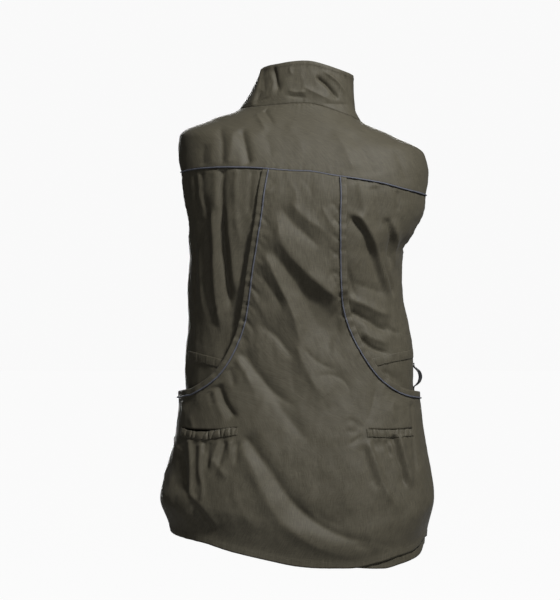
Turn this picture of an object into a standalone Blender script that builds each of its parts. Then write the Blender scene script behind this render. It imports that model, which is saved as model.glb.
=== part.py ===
"""Training vest as it hangs when worn: thin cloth walls, cut and joined like the sewn garment.

Metres. +Z is up, the front faces -Y and +X is the wearer's left. The origin lies in the neck opening, level
with the nape seam. An angle runs round the body from the centre back (0) over the wearer's left (90) to the
centre front (180), or over the wearer's right with a minus sign. A height is measured on the centre back.
"""
import math

import bmesh
import bpy
import numpy as np
from mathutils import Vector
from mathutils.bvhtree import BVHTree

# Walls and gaps
CLOTH = 0.0012
COLLAR_WALL = 0.0024
CASING_WALL = 0.0018
TAPE_WALL = 0.0010
WEBBING_WALL = 0.0016
SEAM = 0.0004
SEATING = 0.0003
TRIM_SEATING = 0.0005
CASING_SEATING = 0.0007

# The form that the cloth hangs on: one row for each ring round the body
SQUARENESS = 2.4
RING_COLUMNS = ("height", "left", "right", "back", "front", "left_rise", "right_rise", "front_rise")
RINGS = (
    (-0.840, 0.222, 0.208, 0.138, 0.130, 0.000, 0.000, 0.000),
    (-0.770, 0.226, 0.210, 0.140, 0.132, 0.000, 0.000, 0.000),
    (-0.720, 0.234, 0.213, 0.141, 0.134, 0.000, 0.000, 0.000),
    (-0.690, 0.236, 0.213, 0.141, 0.135, 0.000, 0.000, 0.000),
    (-0.640, 0.226, 0.207, 0.139, 0.137, 0.000, 0.000, 0.000),
    (-0.570, 0.210, 0.197, 0.131, 0.140, 0.000, 0.000, 0.000),
    (-0.500, 0.207, 0.191, 0.121, 0.143, 0.000, 0.000, 0.000),
    (-0.440, 0.206, 0.191, 0.115, 0.145, 0.000, 0.000, 0.000),
    (-0.390, 0.202, 0.185, 0.113, 0.146, 0.000, 0.000, 0.000),
    (-0.340, 0.203, 0.174, 0.117, 0.146, 0.000, 0.000, 0.000),
    (-0.300, 0.202, 0.171, 0.124, 0.145, 0.000, 0.000, 0.000),
    (-0.262, 0.200, 0.172, 0.130, 0.143, 0.000, 0.000, 0.000),
    (-0.220, 0.203, 0.196, 0.134, 0.139, 0.002, -0.001, -0.006),
    (-0.170, 0.214, 0.216, 0.134, 0.132, 0.009, -0.003, -0.014),
    (-0.125, 0.221, 0.218, 0.127, 0.124, 0.022, 0.001, -0.026),
    (-0.090, 0.2175, 0.2105, 0.115, 0.114, 0.036, 0.004, -0.040),
    (-0.045, 0.163, 0.156, 0.093, 0.092, 0.020, -0.009, -0.055),
    (0.000, 0.113, 0.099, 0.065, 0.072, -0.006, -0.027, -0.070),
    (0.020, 0.095, 0.085, 0.055, 0.065, -0.010, -0.030, -0.075),
)
RING = {name: np.array(column) for name, column in zip(RING_COLUMNS, zip(*RINGS))}
GIRTH_RADIUS = 0.165

# Seams, as x and z seen from behind, from the wearer's right to the left
YOKE_SEAM = (
    (-0.2097, -0.158),
    (-0.178, -0.151),
    (-0.121, -0.138),
    (-0.050, -0.128),
    (0.000, -0.1205),
    (0.062, -0.1165),
    (0.135, -0.113),
    (0.178, -0.114),
    (0.2120, -0.118),
)
OUTER_HEM = (
    (-0.2035, -0.749),
    (-0.178, -0.767),
    (-0.1525, -0.773),
    (-0.119, -0.783),
    (-0.075, -0.791),
    (-0.027, -0.7905),
    (0.008, -0.788),
    (0.071, -0.7755),
    (0.121, -0.764),
    (0.172, -0.750),
    (0.228, -0.741),
)
INNER_HEM = (
    (-0.205, -0.762),
    (-0.195, -0.775),
    (-0.155, -0.788),
    (-0.130, -0.7935),
    (-0.080, -0.7905),
    (-0.040, -0.787),
    (0.000, -0.783),
    (0.070, -0.771),
    (0.120, -0.759),
    (0.170, -0.745),
    (0.226, -0.736),
)
MOUTH_RIGHT = (
    (-0.0594, -0.1320),
    (-0.0594, -0.215),
    (-0.0600, -0.298),
    (-0.063, -0.339),
    (-0.076, -0.390),
    (-0.106, -0.447),
    (-0.1265, -0.4725),
    (-0.153, -0.4935),
    (-0.180, -0.505),
)
MOUTH_LEFT = (
    (0.0612, -0.1195),
    (0.0735, -0.202),
    (0.091, -0.3145),
    (0.1015, -0.381),
    (0.111, -0.4095),
    (0.126, -0.442),
    (0.1455, -0.469),
    (0.170, -0.489),
    (0.196, -0.503),
)
BACK_ARMHOLE_RIGHT = (
    (-0.2075, -0.1815),
    (-0.2029, -0.197),
    (-0.1915, -0.217),
    (-0.180, -0.237),
    (-0.1705, -0.2495),
)
BACK_ARMHOLE_LEFT = (
    (0.2085, -0.160),
    (0.2020, -0.192),
    (0.1990, -0.212),
)

# Seams, as angle in degrees and height
SIDE_SEAM_LEFT = 102
SIDE_SEAM_RIGHT = -96
SHOULDER_SEAM = 97
CENTRE_FRONT = 183
UNDERARM = -0.263
SIDE_SEAM_TOP = UNDERARM - 0.001
UNDERARM_TURN = 0.020
UNDERARM_CURVE_LEFT = ((85, -0.234), (91, -0.250), (97, -0.259))
SHOULDER_TIP = -0.090
MOUTH_END = -0.513
FRONT_ARMHOLE = ((103, -0.262), (108, -0.250), (113, -0.225), (115, -0.185), (111, -0.140), (103, -0.108))
FRONT_HEM = -0.735
ZIP_CLOSED_TO = -0.190
ZIP_HALF_GAP = 0.004
NECK_HALF_GAP = 0.032

# Rear game pocket
PIPING_RADIUS = 0.0013
BAND_WIDTH = 0.0115
MOUTH_SEAM = 0.0006
BAND_TUCK = 0.0025
PIPING_TUCK = 0.15
POCKET_CLEARANCE = CLOTH + 0.0010
LIFT_COLUMNS = ("height", "lift")
LIFT_ROWS = (
    (-0.84, 0.016),
    (-0.72, 0.019),
    (-0.62, 0.018),
    (-0.52, 0.014),
    (-0.42, 0.010),
    (-0.33, 0.008),
    (-0.24, 0.0065),
    (-0.16, 0.003),
    (-0.11, 0.0),
)
LIFT = {name: np.array(column) for name, column in zip(LIFT_COLUMNS, zip(*LIFT_ROWS))}
HEM_CLOSING = 0.070
MOUTH_CLOSING = 0.060
SIDE_HOLD = 8
SOFTNESS = 0.002
SLIT_HEIGHT = 0.0066
SLIT_THROUGH = 0.010
SLIT_LEFT = ((0.1090, -0.5555), (0.150, -0.5600), (0.1975, -0.5600))
SLIT_RIGHT = ((-0.1740, -0.5590), (-0.137, -0.5600), (-0.1000, -0.5580))
HIP_CASING_WIDTH = 0.0125
HIP_CASING_DROP = 0.0085
HIP_GATHERS = 8
WAIST_CASING_LEFT = ((0.1440, -0.4475), (0.176, -0.440), (0.2040, -0.432))
WAIST_CASING_RIGHT = ((-0.1890, -0.431), (-0.155, -0.4375), (-0.1215, -0.445))
WAIST_CASING_WIDTH = 0.0160
WAIST_GATHERS = 5
GATHER_DEPTH = 0.0009

# Largest folds, as x1, z1, x2, z2, x3, z3 (three places along each, seen from behind), half-width and rise,
# where a trough has a minus sign
FOLD_FADE = 0.25
POCKET_FOLDS = (
    (0.0490, -0.180, 0.0320, -0.217, 0.0010, -0.283, 0.010, 0.0040),
    (0.0340, -0.189, 0.0150, -0.216, -0.0370, -0.254, 0.010, -0.0045),
    (0.0690, -0.251, 0.0400, -0.315, 0.0250, -0.339, 0.011, 0.0040),
    (0.0540, -0.243, 0.0200, -0.285, -0.0170, -0.339, 0.010, -0.0045),
    (0.1110, -0.415, 0.0910, -0.439, 0.0710, -0.461, 0.010, -0.0040),
    (0.1450, -0.476, 0.1370, -0.513, 0.1130, -0.554, 0.011, -0.0060),
    (0.1030, -0.576, 0.0670, -0.635, 0.0350, -0.701, 0.014, 0.0080),
    (0.0350, -0.701, 0.0050, -0.725, -0.1130, -0.765, 0.013, 0.0050),
    (0.1060, -0.566, 0.0500, -0.626, 0.0080, -0.694, 0.014, -0.0080),
    (0.1940, -0.582, 0.1960, -0.640, 0.1500, -0.715, 0.015, 0.0070),
    (0.2000, -0.695, 0.1800, -0.722, 0.1400, -0.742, 0.014, -0.0070),
    (0.1320, -0.579, 0.1380, -0.603, 0.1430, -0.636, 0.011, -0.0060),
    (-0.1557, -0.576, -0.1640, -0.604, -0.1780, -0.655, 0.010, -0.0060),
    (-0.1017, -0.576, -0.1240, -0.620, -0.1590, -0.692, 0.013, 0.0060),
    (-0.1118, -0.601, -0.1190, -0.640, -0.1300, -0.690, 0.011, -0.0060),
    (-0.1950, -0.530, -0.1980, -0.600, -0.2020, -0.680, 0.013, 0.0050),
)
BACK_FOLDS = (
    (-0.0920, -0.215, -0.1120, -0.250, -0.1400, -0.345, 0.010, -0.0060),
    (-0.1200, -0.225, -0.1380, -0.285, -0.1640, -0.360, 0.011, 0.0050),
    (-0.1460, -0.195, -0.1550, -0.240, -0.1620, -0.285, 0.009, -0.0035),
    (-0.1080, -0.350, -0.1400, -0.368, -0.1720, -0.378, 0.010, -0.0040),
    (0.1420, -0.135, 0.1420, -0.220, 0.1440, -0.325, 0.012, -0.0060),
    (0.1700, -0.160, 0.1600, -0.270, 0.1500, -0.370, 0.012, 0.0055),
    (0.1880, -0.240, 0.1820, -0.300, 0.1760, -0.370, 0.010, -0.0050),
)
YOKE_FOLDS = (
    (0.1010, -0.050, 0.0950, -0.080, 0.0900, -0.108, 0.010, -0.0030),
    (0.1360, -0.055, 0.1340, -0.080, 0.1310, -0.105, 0.011, 0.0022),
    (-0.0450, -0.030, -0.0680, -0.055, -0.0900, -0.085, 0.013, -0.0022),
)

# Folds of the left front, mirrored on the right, as angle1, height1, angle2, height2, half-width and rise
FRONT_FOLDS = (
    (118, -0.245, 150, -0.330, 0.014, -0.0050),
    (112, -0.270, 138, -0.400, 0.014, 0.0045),
    (108, -0.440, 140, -0.500, 0.015, -0.0050),
    (165, -0.430, 135, -0.480, 0.013, 0.0040),
    (120, -0.560, 128, -0.715, 0.016, 0.0055),
    (145, -0.570, 150, -0.720, 0.015, -0.0050),
)

# Collar: one row for each line round the neck, from its seam to the top edge
COLLAR_COLUMNS = ("share", "left", "right", "back", "front")
COLLAR_RINGS = (
    (0.00, 0.1130, 0.0990, 0.0650, 0.0720),
    (0.25, 0.1020, 0.0900, 0.0640, 0.0715),
    (0.65, 0.0860, 0.0870, 0.0620, 0.0705),
    (1.00, 0.0745, 0.0860, 0.0590, 0.0700),
)
COLLAR = {name: np.array(column) for name, column in zip(COLLAR_COLUMNS, zip(*COLLAR_RINGS))}
COLLAR_HEIGHT = {"back": 0.0740, "left": 0.0700, "right": 0.0790, "front": 0.0620}

# Webbing loop at the right of the waist: its path as distance off the body and height
LOOP_ANGLE = -91
LOOP_WIDTH = 0.018
LOOP_PATH = (
    (0.0000, -0.4490),
    (0.0003, -0.4550),
    (0.0050, -0.4595),
    (0.0098, -0.4655),
    (0.0116, -0.4735),
    (0.0098, -0.4815),
    (0.0050, -0.4875),
    (0.0003, -0.4915),
    (0.0000, -0.4975),
)

# Zip slider and pull tab
TAPE_WIDTH = 0.014
TAPE_SHOWS = 0.0034
SLIDER = {"width": 0.0090, "height": 0.0130, "depth": 0.0030, "bevel": 0.0002}
BRIDGE = {"width": 0.0022, "length": 0.0078, "rise": 0.0032, "bar": 0.0010, "foot": 0.0004}
TAB = {"width": 0.0078, "length": 0.0270, "wall": 0.0013, "eye": 0.0066, "side": 0.0019, "bevel": 0.0003}

# Points on each panel
POCKET_MOUTH_ROWS = 23
POCKET_SIDE_ROWS = 15
POCKET_COLUMNS = 30
YOKE_COLUMNS = 22
YOKE_ROWS = 7
YOKE_EDGE_ROWS = 5
BACK_ARMHOLE_ROWS = 12
BACK_LOWER_ROWS = 16
ARMHOLE_SHARE = 0.215
FRONT_COLUMNS = 11
FRONT_ROWS = (5, 8, 3, 16)
COLLAR_COLUMNS_ROUND = 34
COLLAR_ROWS = 5

for old in list(bpy.data.objects):
    bpy.data.objects.remove(old)


def smooth(xs, ys, x):
    """A cubic through the points that never overshoots them; xs rise."""
    xs, ys, x = np.asarray(xs, float), np.asarray(ys, float), np.asarray(x, float)
    step = np.diff(xs)
    rise = np.diff(ys) / step
    slope = np.zeros(len(xs))
    same = rise[:-1] * rise[1:] > 0
    slope[1:-1][same] = 2 * rise[:-1][same] * rise[1:][same] / (rise[:-1] + rise[1:])[same]
    slope[0] = rise[0]
    slope[-1] = rise[-1]
    k = np.clip(np.searchsorted(xs, x) - 1, 0, len(step) - 1)
    t = np.clip((x - xs[k]) / step[k], 0, 1)
    start = (1 + 2 * t) * (1 - t) ** 2 * ys[k] + t * (1 - t) ** 2 * step[k] * slope[k]
    end = t * t * (3 - 2 * t) * ys[k + 1] - t * t * (1 - t) * step[k] * slope[k + 1]
    return start + end


def ease(value):
    """0 below 0, 1 above 1, smooth between."""
    t = np.clip(value, 0, 1)
    return t * t * (3 - 2 * t)


def ring(column, height):
    return smooth(RING["height"], RING[column], height)


def reach(angle, wide, deep):
    sides = (np.abs(np.sin(angle)) / wide) ** SQUARENESS + (np.abs(np.cos(angle)) / deep) ** SQUARENESS
    return sides ** (-1 / SQUARENESS)


def rise_at(angle, height):
    sine, cosine = np.sin(angle), np.cos(angle)
    side = np.where(sine > 0, ring("left_rise", height), ring("right_rise", height))
    front = np.where(cosine < 0, ring("front_rise", height), 0)
    return side * sine**2 + front * cosine**2


def form(angle, height):
    wide = np.where(np.sin(angle) > 0, ring("left", height), ring("right", height))
    deep = np.where(np.cos(angle) > 0, ring("back", height), ring("front", height))
    far = reach(angle, wide, deep)
    return np.stack([far * np.sin(angle), far * np.cos(angle), height + rise_at(angle, height)], axis=-1)


def outward(angle, height):
    small = 0.002
    around = form(angle + small, height) - form(angle - small, height)
    down = form(angle, height - small) - form(angle, height + small)
    normal = np.cross(around, down)
    return normal / np.linalg.norm(normal, axis=-1, keepdims=True)


def skin(angle, height, out):
    """Points at a distance off the form, broadcast over arrays."""
    angle, height, out = np.broadcast_arrays(np.asarray(angle, float), np.asarray(height, float), out)
    return form(angle, height) + out[..., None] * outward(angle, height)


def on_back(x, z):
    """The angle and height of a point of the back that shows at x, z."""
    height = z
    rounds = 25
    for _ in range(rounds):
        wide = ring("left" if x > 0 else "right", height)
        share = min(abs(x) / wide, 0.9995)
        y = ring("back", height) * (1 - share**SQUARENESS) ** (1 / SQUARENESS)
        angle = math.atan2(share * wide * math.copysign(1, x), y)
        height = z - float(rise_at(angle, height))
    return angle, height


def mapped(points, lift=None):
    """The angle and height of points seen from behind, on cloth that stands a lift off the form."""
    found = []
    rounds = 8 if lift else 1
    for x, z in points:
        aim = np.array([x, z])
        for _ in range(rounds):
            angle, height = on_back(*aim)
            if lift:
                aim = aim + (x, z) - skin(angle, height, lift(angle, height))[[0, 2]]
        found.append((angle, height))
    return np.array(found)


def along(line, count):
    """Evenly spaced points on a smooth line of angle and height."""
    flat = line * (GIRTH_RADIUS, 1)
    length = np.append(0, np.cumsum(np.linalg.norm(np.diff(flat, axis=0), axis=1)))
    at = np.linspace(0, length[-1], count)
    return np.stack([smooth(length, line[:, 0], at), smooth(length, line[:, 1], at)], axis=-1)


def fold_field(folds, to_line):
    """How far the listed folds move the cloth at an angle and height."""
    lines = [(along(to_line(row), 9) * (GIRTH_RADIUS, 1), row[-2], row[-1]) for row in folds]

    def field(angle, height):
        angle, height = np.broadcast_arrays(np.asarray(angle, float), np.asarray(height, float))
        at = np.stack([angle * GIRTH_RADIUS, height], axis=-1)
        total = np.zeros(at.shape[:-1])
        for line, half_width, rise in lines:
            nearest = np.full(total.shape, np.inf)
            place = np.zeros(total.shape)
            for k, (a, b) in enumerate(zip(line[:-1], line[1:])):
                t = np.clip(((at - a) @ (b - a)) / ((b - a) @ (b - a)), 0, 1)
                away = np.linalg.norm(at - a - t[..., None] * (b - a), axis=-1)
                place = np.where(away < nearest, (k + t) / (len(line) - 1), place)
                nearest = np.minimum(away, nearest)
            fade = ease(place / FOLD_FADE) * ease((1 - place) / FOLD_FADE)
            total = total + rise * np.exp(-((nearest / half_width) ** 2)) * fade
        return total

    return field


def back_line(row):
    return mapped(((row[0], row[1]), (row[2], row[3]), (row[4], row[5])))


def pocket_line(row):
    return mapped(((row[0], row[1]), (row[2], row[3]), (row[4], row[5])), pocket_lift)


def front_line(row):
    start, end = np.array([math.radians(row[0]), row[1]]), np.array([math.radians(row[2]), row[3]])
    return np.array([start, (start + end) / 2, end])


back_fold = fold_field(BACK_FOLDS, back_line)
yoke_fold = fold_field(YOKE_FOLDS, back_line)
front_fold = fold_field(FRONT_FOLDS, front_line)


def line_height(points):
    """A seam's height as a function of the angle."""
    line = mapped(points)
    return lambda angle: smooth(line[:, 0], line[:, 1], angle)


yoke_height = line_height(YOKE_SEAM)
outer_hem = line_height(OUTER_HEM)
inner_hem = line_height(INNER_HEM)


def pocket_lift(angle, height):
    """How far the rear game pocket hangs off the form, without folds: sewn down at the sides and the hem."""
    lift = smooth(LIFT["height"], LIFT["lift"], height)
    side = np.where(angle > 0, math.radians(SIDE_SEAM_LEFT), math.radians(SIDE_SEAM_RIGHT))
    open_mouth = ease((height - MOUTH_END) / MOUTH_CLOSING)
    sewn = open_mouth + (1 - open_mouth) * (1 - np.abs(angle / side) ** SIDE_HOLD)
    return lift * sewn * ease((height - outer_hem(angle)) / HEM_CLOSING)


pocket_fold = fold_field(POCKET_FOLDS, pocket_line)


def pocket_out(angle, height):
    """How far the pocket's cloth stands off the form, never nearer than the inner back's own cloth."""
    lift = pocket_lift(angle, height)
    fold = pocket_fold(angle, height) * ease((height - outer_hem(angle)) / HEM_CLOSING)
    free = SOFTNESS * np.logaddexp(0, (lift + fold) / SOFTNESS)
    return POCKET_CLEARANCE + free * (1 - np.exp(-lift / SOFTNESS))


def paint(name, colour, roughness, metallic=0.0):
    material = bpy.data.materials.new(name)
    material.use_nodes = True
    shader = material.node_tree.nodes["Principled BSDF"]
    shader.inputs["Base Color"].default_value = (*colour, 1)
    shader.inputs["Roughness"].default_value = roughness
    shader.inputs["Metallic"].default_value = metallic
    return material


OLIVE = paint("olive poly-cotton", (0.075, 0.068, 0.050), 0.72)
SLATE = paint("slate piping", (0.085, 0.092, 0.125), 0.70)
BLACK = paint("black webbing", (0.012, 0.012, 0.013), 0.65)
TAPE = paint("zip tape", (0.030, 0.029, 0.024), 0.80)
METAL = paint("dark zinc", (0.10, 0.10, 0.10), 0.35, 1.0)


def add_object(name, data, material):
    piece = bpy.data.objects.new(name, data)
    data.materials.append(material)
    bpy.context.scene.collection.objects.link(piece)
    return piece


def grid_faces(rows, columns):
    corners = ((0, 0), (0, 1), (1, 1), (1, 0))
    return [
        tuple((r + down) * columns + c + across for down, across in corners)
        for r in range(rows - 1)
        for c in range(columns - 1)
    ]


def cloth(name, points, material, wall=CLOTH):
    """A wall of cloth: rows run down, columns round the body to the left, and the points are its outer face."""
    mesh = bpy.data.meshes.new(name)
    mesh.from_pydata(points.reshape(-1, 3).tolist(), [], grid_faces(*points.shape[:2]))
    piece = add_object(name, mesh, material)
    mesh.shade_smooth()
    thick = piece.modifiers.new("wall", "SOLIDIFY")
    thick.thickness = wall
    thick.offset = -1
    return piece


def piping(name, points, radius=PIPING_RADIUS):
    curve = bpy.data.curves.new(name, "CURVE")
    curve.dimensions = "3D"
    curve.bevel_depth = radius
    curve.bevel_resolution = 1
    curve.use_fill_caps = True
    spline = curve.splines.new("POLY")
    spline.points.add(len(points) - 1)
    for point, place in zip(spline.points, points):
        point.co = (*place, 1)
    return add_object(name, curve, SLATE)


# Upper back

yoke_line = along(mapped(YOKE_SEAM), YOKE_COLUMNS + 1)


def yoke():
    tip = math.radians(SHOULDER_SEAM)
    right_corner, left_corner = yoke_line[0], yoke_line[-1]
    share = np.linspace(0, 1, YOKE_EDGE_ROWS + 1)[1:]
    steps = np.stack([share, np.sin(share * math.pi / 2)], axis=-1)
    left_edge = left_corner + steps * (np.array([tip, SHOULDER_TIP]) - left_corner)
    right_edge = right_corner + steps * (np.array([-tip, SHOULDER_TIP]) - right_corner)
    outer = np.concatenate([right_edge[::-1], yoke_line, left_edge])
    share = np.linspace(0, 1, YOKE_ROWS + 1)[:, None]
    angle = np.broadcast_to(outer[:, 0], (YOKE_ROWS + 1, len(outer)))
    neck, seam = -SEAM / 2, outer[:, 1] + SEAM / 2
    height = neck + share * (seam - neck)
    cloth("back_yoke", skin(angle, height, yoke_fold(angle, height)), OLIVE)
    piping("yoke_piping", skin(yoke_line[:, 0], yoke_line[:, 1], PIPING_RADIUS + SEATING))


def edge_angles(corner, armhole, side_angle, underarm=()):
    """The back panel's edge, down the armhole and the side seam, as a function of the height."""
    side = math.radians(side_angle)
    curve = [(math.radians(angle), height) for angle, height in underarm]
    line = np.array([corner, *mapped(armhole), *curve, (side, UNDERARM), (side, RINGS[0][0])])[::-1]
    return lambda height: smooth(line[:, 1], line[:, 0], height)


back_edge_right = edge_angles(yoke_line[0], BACK_ARMHOLE_RIGHT, SIDE_SEAM_RIGHT)
back_edge_left = edge_angles(yoke_line[-1], BACK_ARMHOLE_LEFT, SIDE_SEAM_LEFT, UNDERARM_CURVE_LEFT)


def inner_back():
    across = (yoke_line[:, 0] - yoke_line[0, 0]) / (yoke_line[-1, 0] - yoke_line[0, 0])
    right = math.radians(SIDE_SEAM_RIGHT)
    left = math.radians(SIDE_SEAM_LEFT)
    top = yoke_line[:, 1] - SEAM / 2
    hem = inner_hem(right + across * (left - right))
    armhole_rows = np.linspace(0, ARMHOLE_SHARE, BACK_ARMHOLE_ROWS + 1)
    lower_rows = np.linspace(ARMHOLE_SHARE, 1, BACK_LOWER_ROWS + 1)[1:]
    share = np.concatenate([armhole_rows, lower_rows])[:, None]
    height = top + share * (hem - top)
    angle = back_edge_right(height) * (1 - across) + back_edge_left(height) * across
    points = skin(angle, height, back_fold(angle, height))
    cloth("back_body", points, OLIVE)
    return surface(points)


def surface(points):
    """The outer face of a panel, for seating what lies on it."""
    rows, columns = points.shape[:2]
    return BVHTree.FromPolygons(points.reshape(-1, 3).tolist(), grid_faces(rows, columns))


def above(face, points, normals):
    """How far points stand off a panel's face, along their own normals."""
    far = 0.05
    starts, ways = (points + far * normals).reshape(-1, 3), -normals.reshape(-1, 3)
    hits = [face.ray_cast(Vector(start), Vector(way))[3] for start, way in zip(starts, ways)]
    return np.array([1.0 if hit is None else hit for hit in hits]).reshape(points.shape[:-1]) - far


# Rear game pocket


def pocket_top(angle):
    return yoke_height(angle) - PIPING_RADIUS - SEAM


def mouth(points, side_angle):
    """The edge beside an open pocket mouth, from the yoke seam to the side seam."""
    line = np.concatenate([mapped(points, pocket_lift), [(math.radians(side_angle), MOUTH_END)]])
    line[0, 1] = pocket_top(line[0, 0])
    return along(line, POCKET_MOUTH_ROWS + 1)


def pocket_edge(points, side_angle):
    side = math.radians(side_angle)
    down = np.linspace(MOUTH_END, float(outer_hem(side)), POCKET_SIDE_ROWS + 1)[1:]
    return np.concatenate([mouth(points, side_angle), np.stack([np.full(len(down), side), down], axis=-1)])


def game_pocket():
    right, left = pocket_edge(MOUTH_RIGHT, SIDE_SEAM_RIGHT), pocket_edge(MOUTH_LEFT, SIDE_SEAM_LEFT)
    across = np.linspace(0, 1, POCKET_COLUMNS + 1)
    down = np.linspace(0, 1, len(left))[:, None]
    angle = right[:, :1] * (1 - across) + left[:, :1] * across
    share_right, share_left = (
        (pocket_top(edge[:, 0]) - edge[:, 1]) / (pocket_top(edge[:, 0]) - outer_hem(edge[:, 0]))
        for edge in (right, left)
    )
    share_edge = share_right[:, None] * (1 - across) + share_left[:, None] * across
    near_edge = ease(np.abs(2 * across - 1))
    share = near_edge * share_edge + (1 - near_edge) * down
    height = pocket_top(angle) * (1 - share) + outer_hem(angle) * share
    points = skin(angle, height, pocket_out(angle, height))
    panel = cloth("game_pocket", points, OLIVE)
    for side, slit in (("L", SLIT_LEFT), ("R", SLIT_RIGHT)):
        cut = panel.modifiers.new("slit " + side, "BOOLEAN")
        cut.object = slit_cutter("slit_cutter_" + side, slit)
    mouth_rows = POCKET_MOUTH_ROWS + 1
    trim_mouth("R", points[:mouth_rows, 0], -1)
    trim_mouth("L", points[:mouth_rows, -1], 1)
    return surface(points)


def unit(vectors):
    return vectors / np.linalg.norm(vectors, axis=1, keepdims=True)


def trim_mouth(side, edge, outer):
    """The band outside a pocket mouth, and the piping in the seam between them; outer is 1 on the left."""
    run = unit(np.gradient(edge, axis=0))
    angle = np.arctan2(edge[:, 0], edge[:, 1])
    normal = outward(angle, edge[:, 2] - rise_at(angle, edge[:, 2]))
    away = unit(np.cross(run, normal)) * outer
    near, far = edge + MOUTH_SEAM * away, edge + BAND_WIDTH * away
    far = far + np.maximum(0, POCKET_CLEARANCE - above(back_face, far, normal))[:, None] * normal
    far[0] = far[0] + BAND_TUCK * run[0]
    columns = (near, far) if outer > 0 else (far, near)
    cloth("pocket_band_" + side, np.stack(columns, axis=1), OLIVE)
    raised = edge + away * MOUTH_SEAM / 2 + normal * (PIPING_RADIUS + SEATING)
    raised[0] += (raised[1] - raised[0]) * PIPING_TUCK
    piping("pocket_piping_" + side, raised)


def slit_cutter(name, slit):
    line = along(mapped(slit), 9)
    half, through = SLIT_HEIGHT / 2, SLIT_THROUGH
    rings = []
    for angle, height in line:
        out = float(pocket_out(angle, height))
        for dz, dn in ((-half, -through), (half, -through), (half, through), (-half, through)):
            rings.append(skin(angle, height + dz, out + dn).tolist())
    faces = [(0, 1, 2, 3), (len(rings) - 1, len(rings) - 2, len(rings) - 3, len(rings) - 4)]
    for k in range(len(line) - 1):
        for j in range(4):
            a, b = 4 * k + j, 4 * k + (j + 1) % 4
            faces.append((b, a, a + 4, b + 4))
    mesh = bpy.data.meshes.new(name)
    mesh.from_pydata(rings, [], faces)
    tidy = bmesh.new()
    tidy.from_mesh(mesh)
    bmesh.ops.recalc_face_normals(tidy, faces=tidy.faces)
    tidy.to_mesh(mesh)
    tidy.free()
    cutter = add_object(name, mesh, OLIVE)
    cutter.hide_render = True
    cutter.display_type = "WIRE"
    return cutter


def casing(name, points, width, gathers, carrier):
    """A gathered elastic casing along a line, seated on what carries it."""
    line = along(mapped(points), 4 * gathers + 1)
    across = np.array([0.5, 0.0, -0.5])[:, None] * width
    ripple = GATHER_DEPTH * (1 - np.cos(np.linspace(0, 2 * math.pi * gathers, len(line)))) / 2
    height = line[:, 1] + across
    angle = np.broadcast_to(line[:, 0], height.shape)
    carried = -above(carrier, skin(angle, height, 0), outward(angle, height))
    seated = carried + CASING_SEATING + CASING_WALL + ripple
    cloth(name, skin(angle, height, seated), OLIVE, CASING_WALL)


# Fronts, collar and zip


def front_gap(height):
    """The angle between the centre front and each front's edge: the zip is open above its slider."""
    opened = np.clip(1 - height / ZIP_CLOSED_TO, 0, 1)
    half = ZIP_HALF_GAP + opened * (NECK_HALF_GAP - ZIP_HALF_GAP)
    return half / ring("front", height)


def front_outer(height, side_angle):
    """The front's outer edge, up the side seam, the armhole and the shoulder seam, as an angle."""
    shift = abs(side_angle) - SIDE_SEAM_LEFT
    rows = [(RINGS[0][0], abs(side_angle)), (SIDE_SEAM_TOP, abs(side_angle))]
    rows += [(at, angle + shift) for angle, at in FRONT_ARMHOLE]
    rows += [(SHOULDER_TIP, SHOULDER_SEAM), (0.0, SHOULDER_SEAM)]
    return np.radians(smooth([row[0] for row in rows], [row[1] for row in rows], height))


def front_heights():
    stops = (-SEAM / 2, SHOULDER_TIP, UNDERARM + UNDERARM_TURN, SIDE_SEAM_TOP, FRONT_HEM)
    parts = [np.linspace(a, b, n + 1)[1:] for a, b, n in zip(stops[:-1], stops[1:], FRONT_ROWS)]
    return np.concatenate([[stops[0]], *parts])


def fronts():
    heights = front_heights()
    share = np.linspace(0, 1, FRONT_COLUMNS + 1)
    seam_turn = SEAM / RING["left"].mean()
    for side, sign, side_angle in (("left", 1, SIDE_SEAM_LEFT), ("right", -1, SIDE_SEAM_RIGHT)):
        centre = math.radians(CENTRE_FRONT if sign > 0 else 360 - CENTRE_FRONT)
        outer = front_outer(heights, side_angle) + seam_turn
        inner = centre - front_gap(heights)
        angle = outer[:, None] * (1 - share) + inner[:, None] * share
        height = np.broadcast_to(heights[:, None], angle.shape)
        out = front_fold(angle, height)
        angle = sign * angle
        if sign < 0:
            angle, height, out = angle[:, ::-1], height[:, ::-1], out[:, ::-1]
        cloth("front_" + side, skin(angle, height, out), OLIVE)
        tape_edge = inner[:, None] + TAPE_SHOWS / ring("front", heights)[:, None]
        tape = tape_edge - np.array([1.0, 0.0]) * TAPE_WIDTH / ring("front", heights)[:, None]
        tape = sign * tape
        if sign < 0:
            tape = tape[:, ::-1]
        height = np.broadcast_to(heights[:, None], tape.shape)
        inside = front_fold(sign * tape, height) - CLOTH - TRIM_SEATING
        cloth("zip_tape_" + side[0].upper(), skin(tape, height, inside), TAPE, TAPE_WALL)


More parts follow.
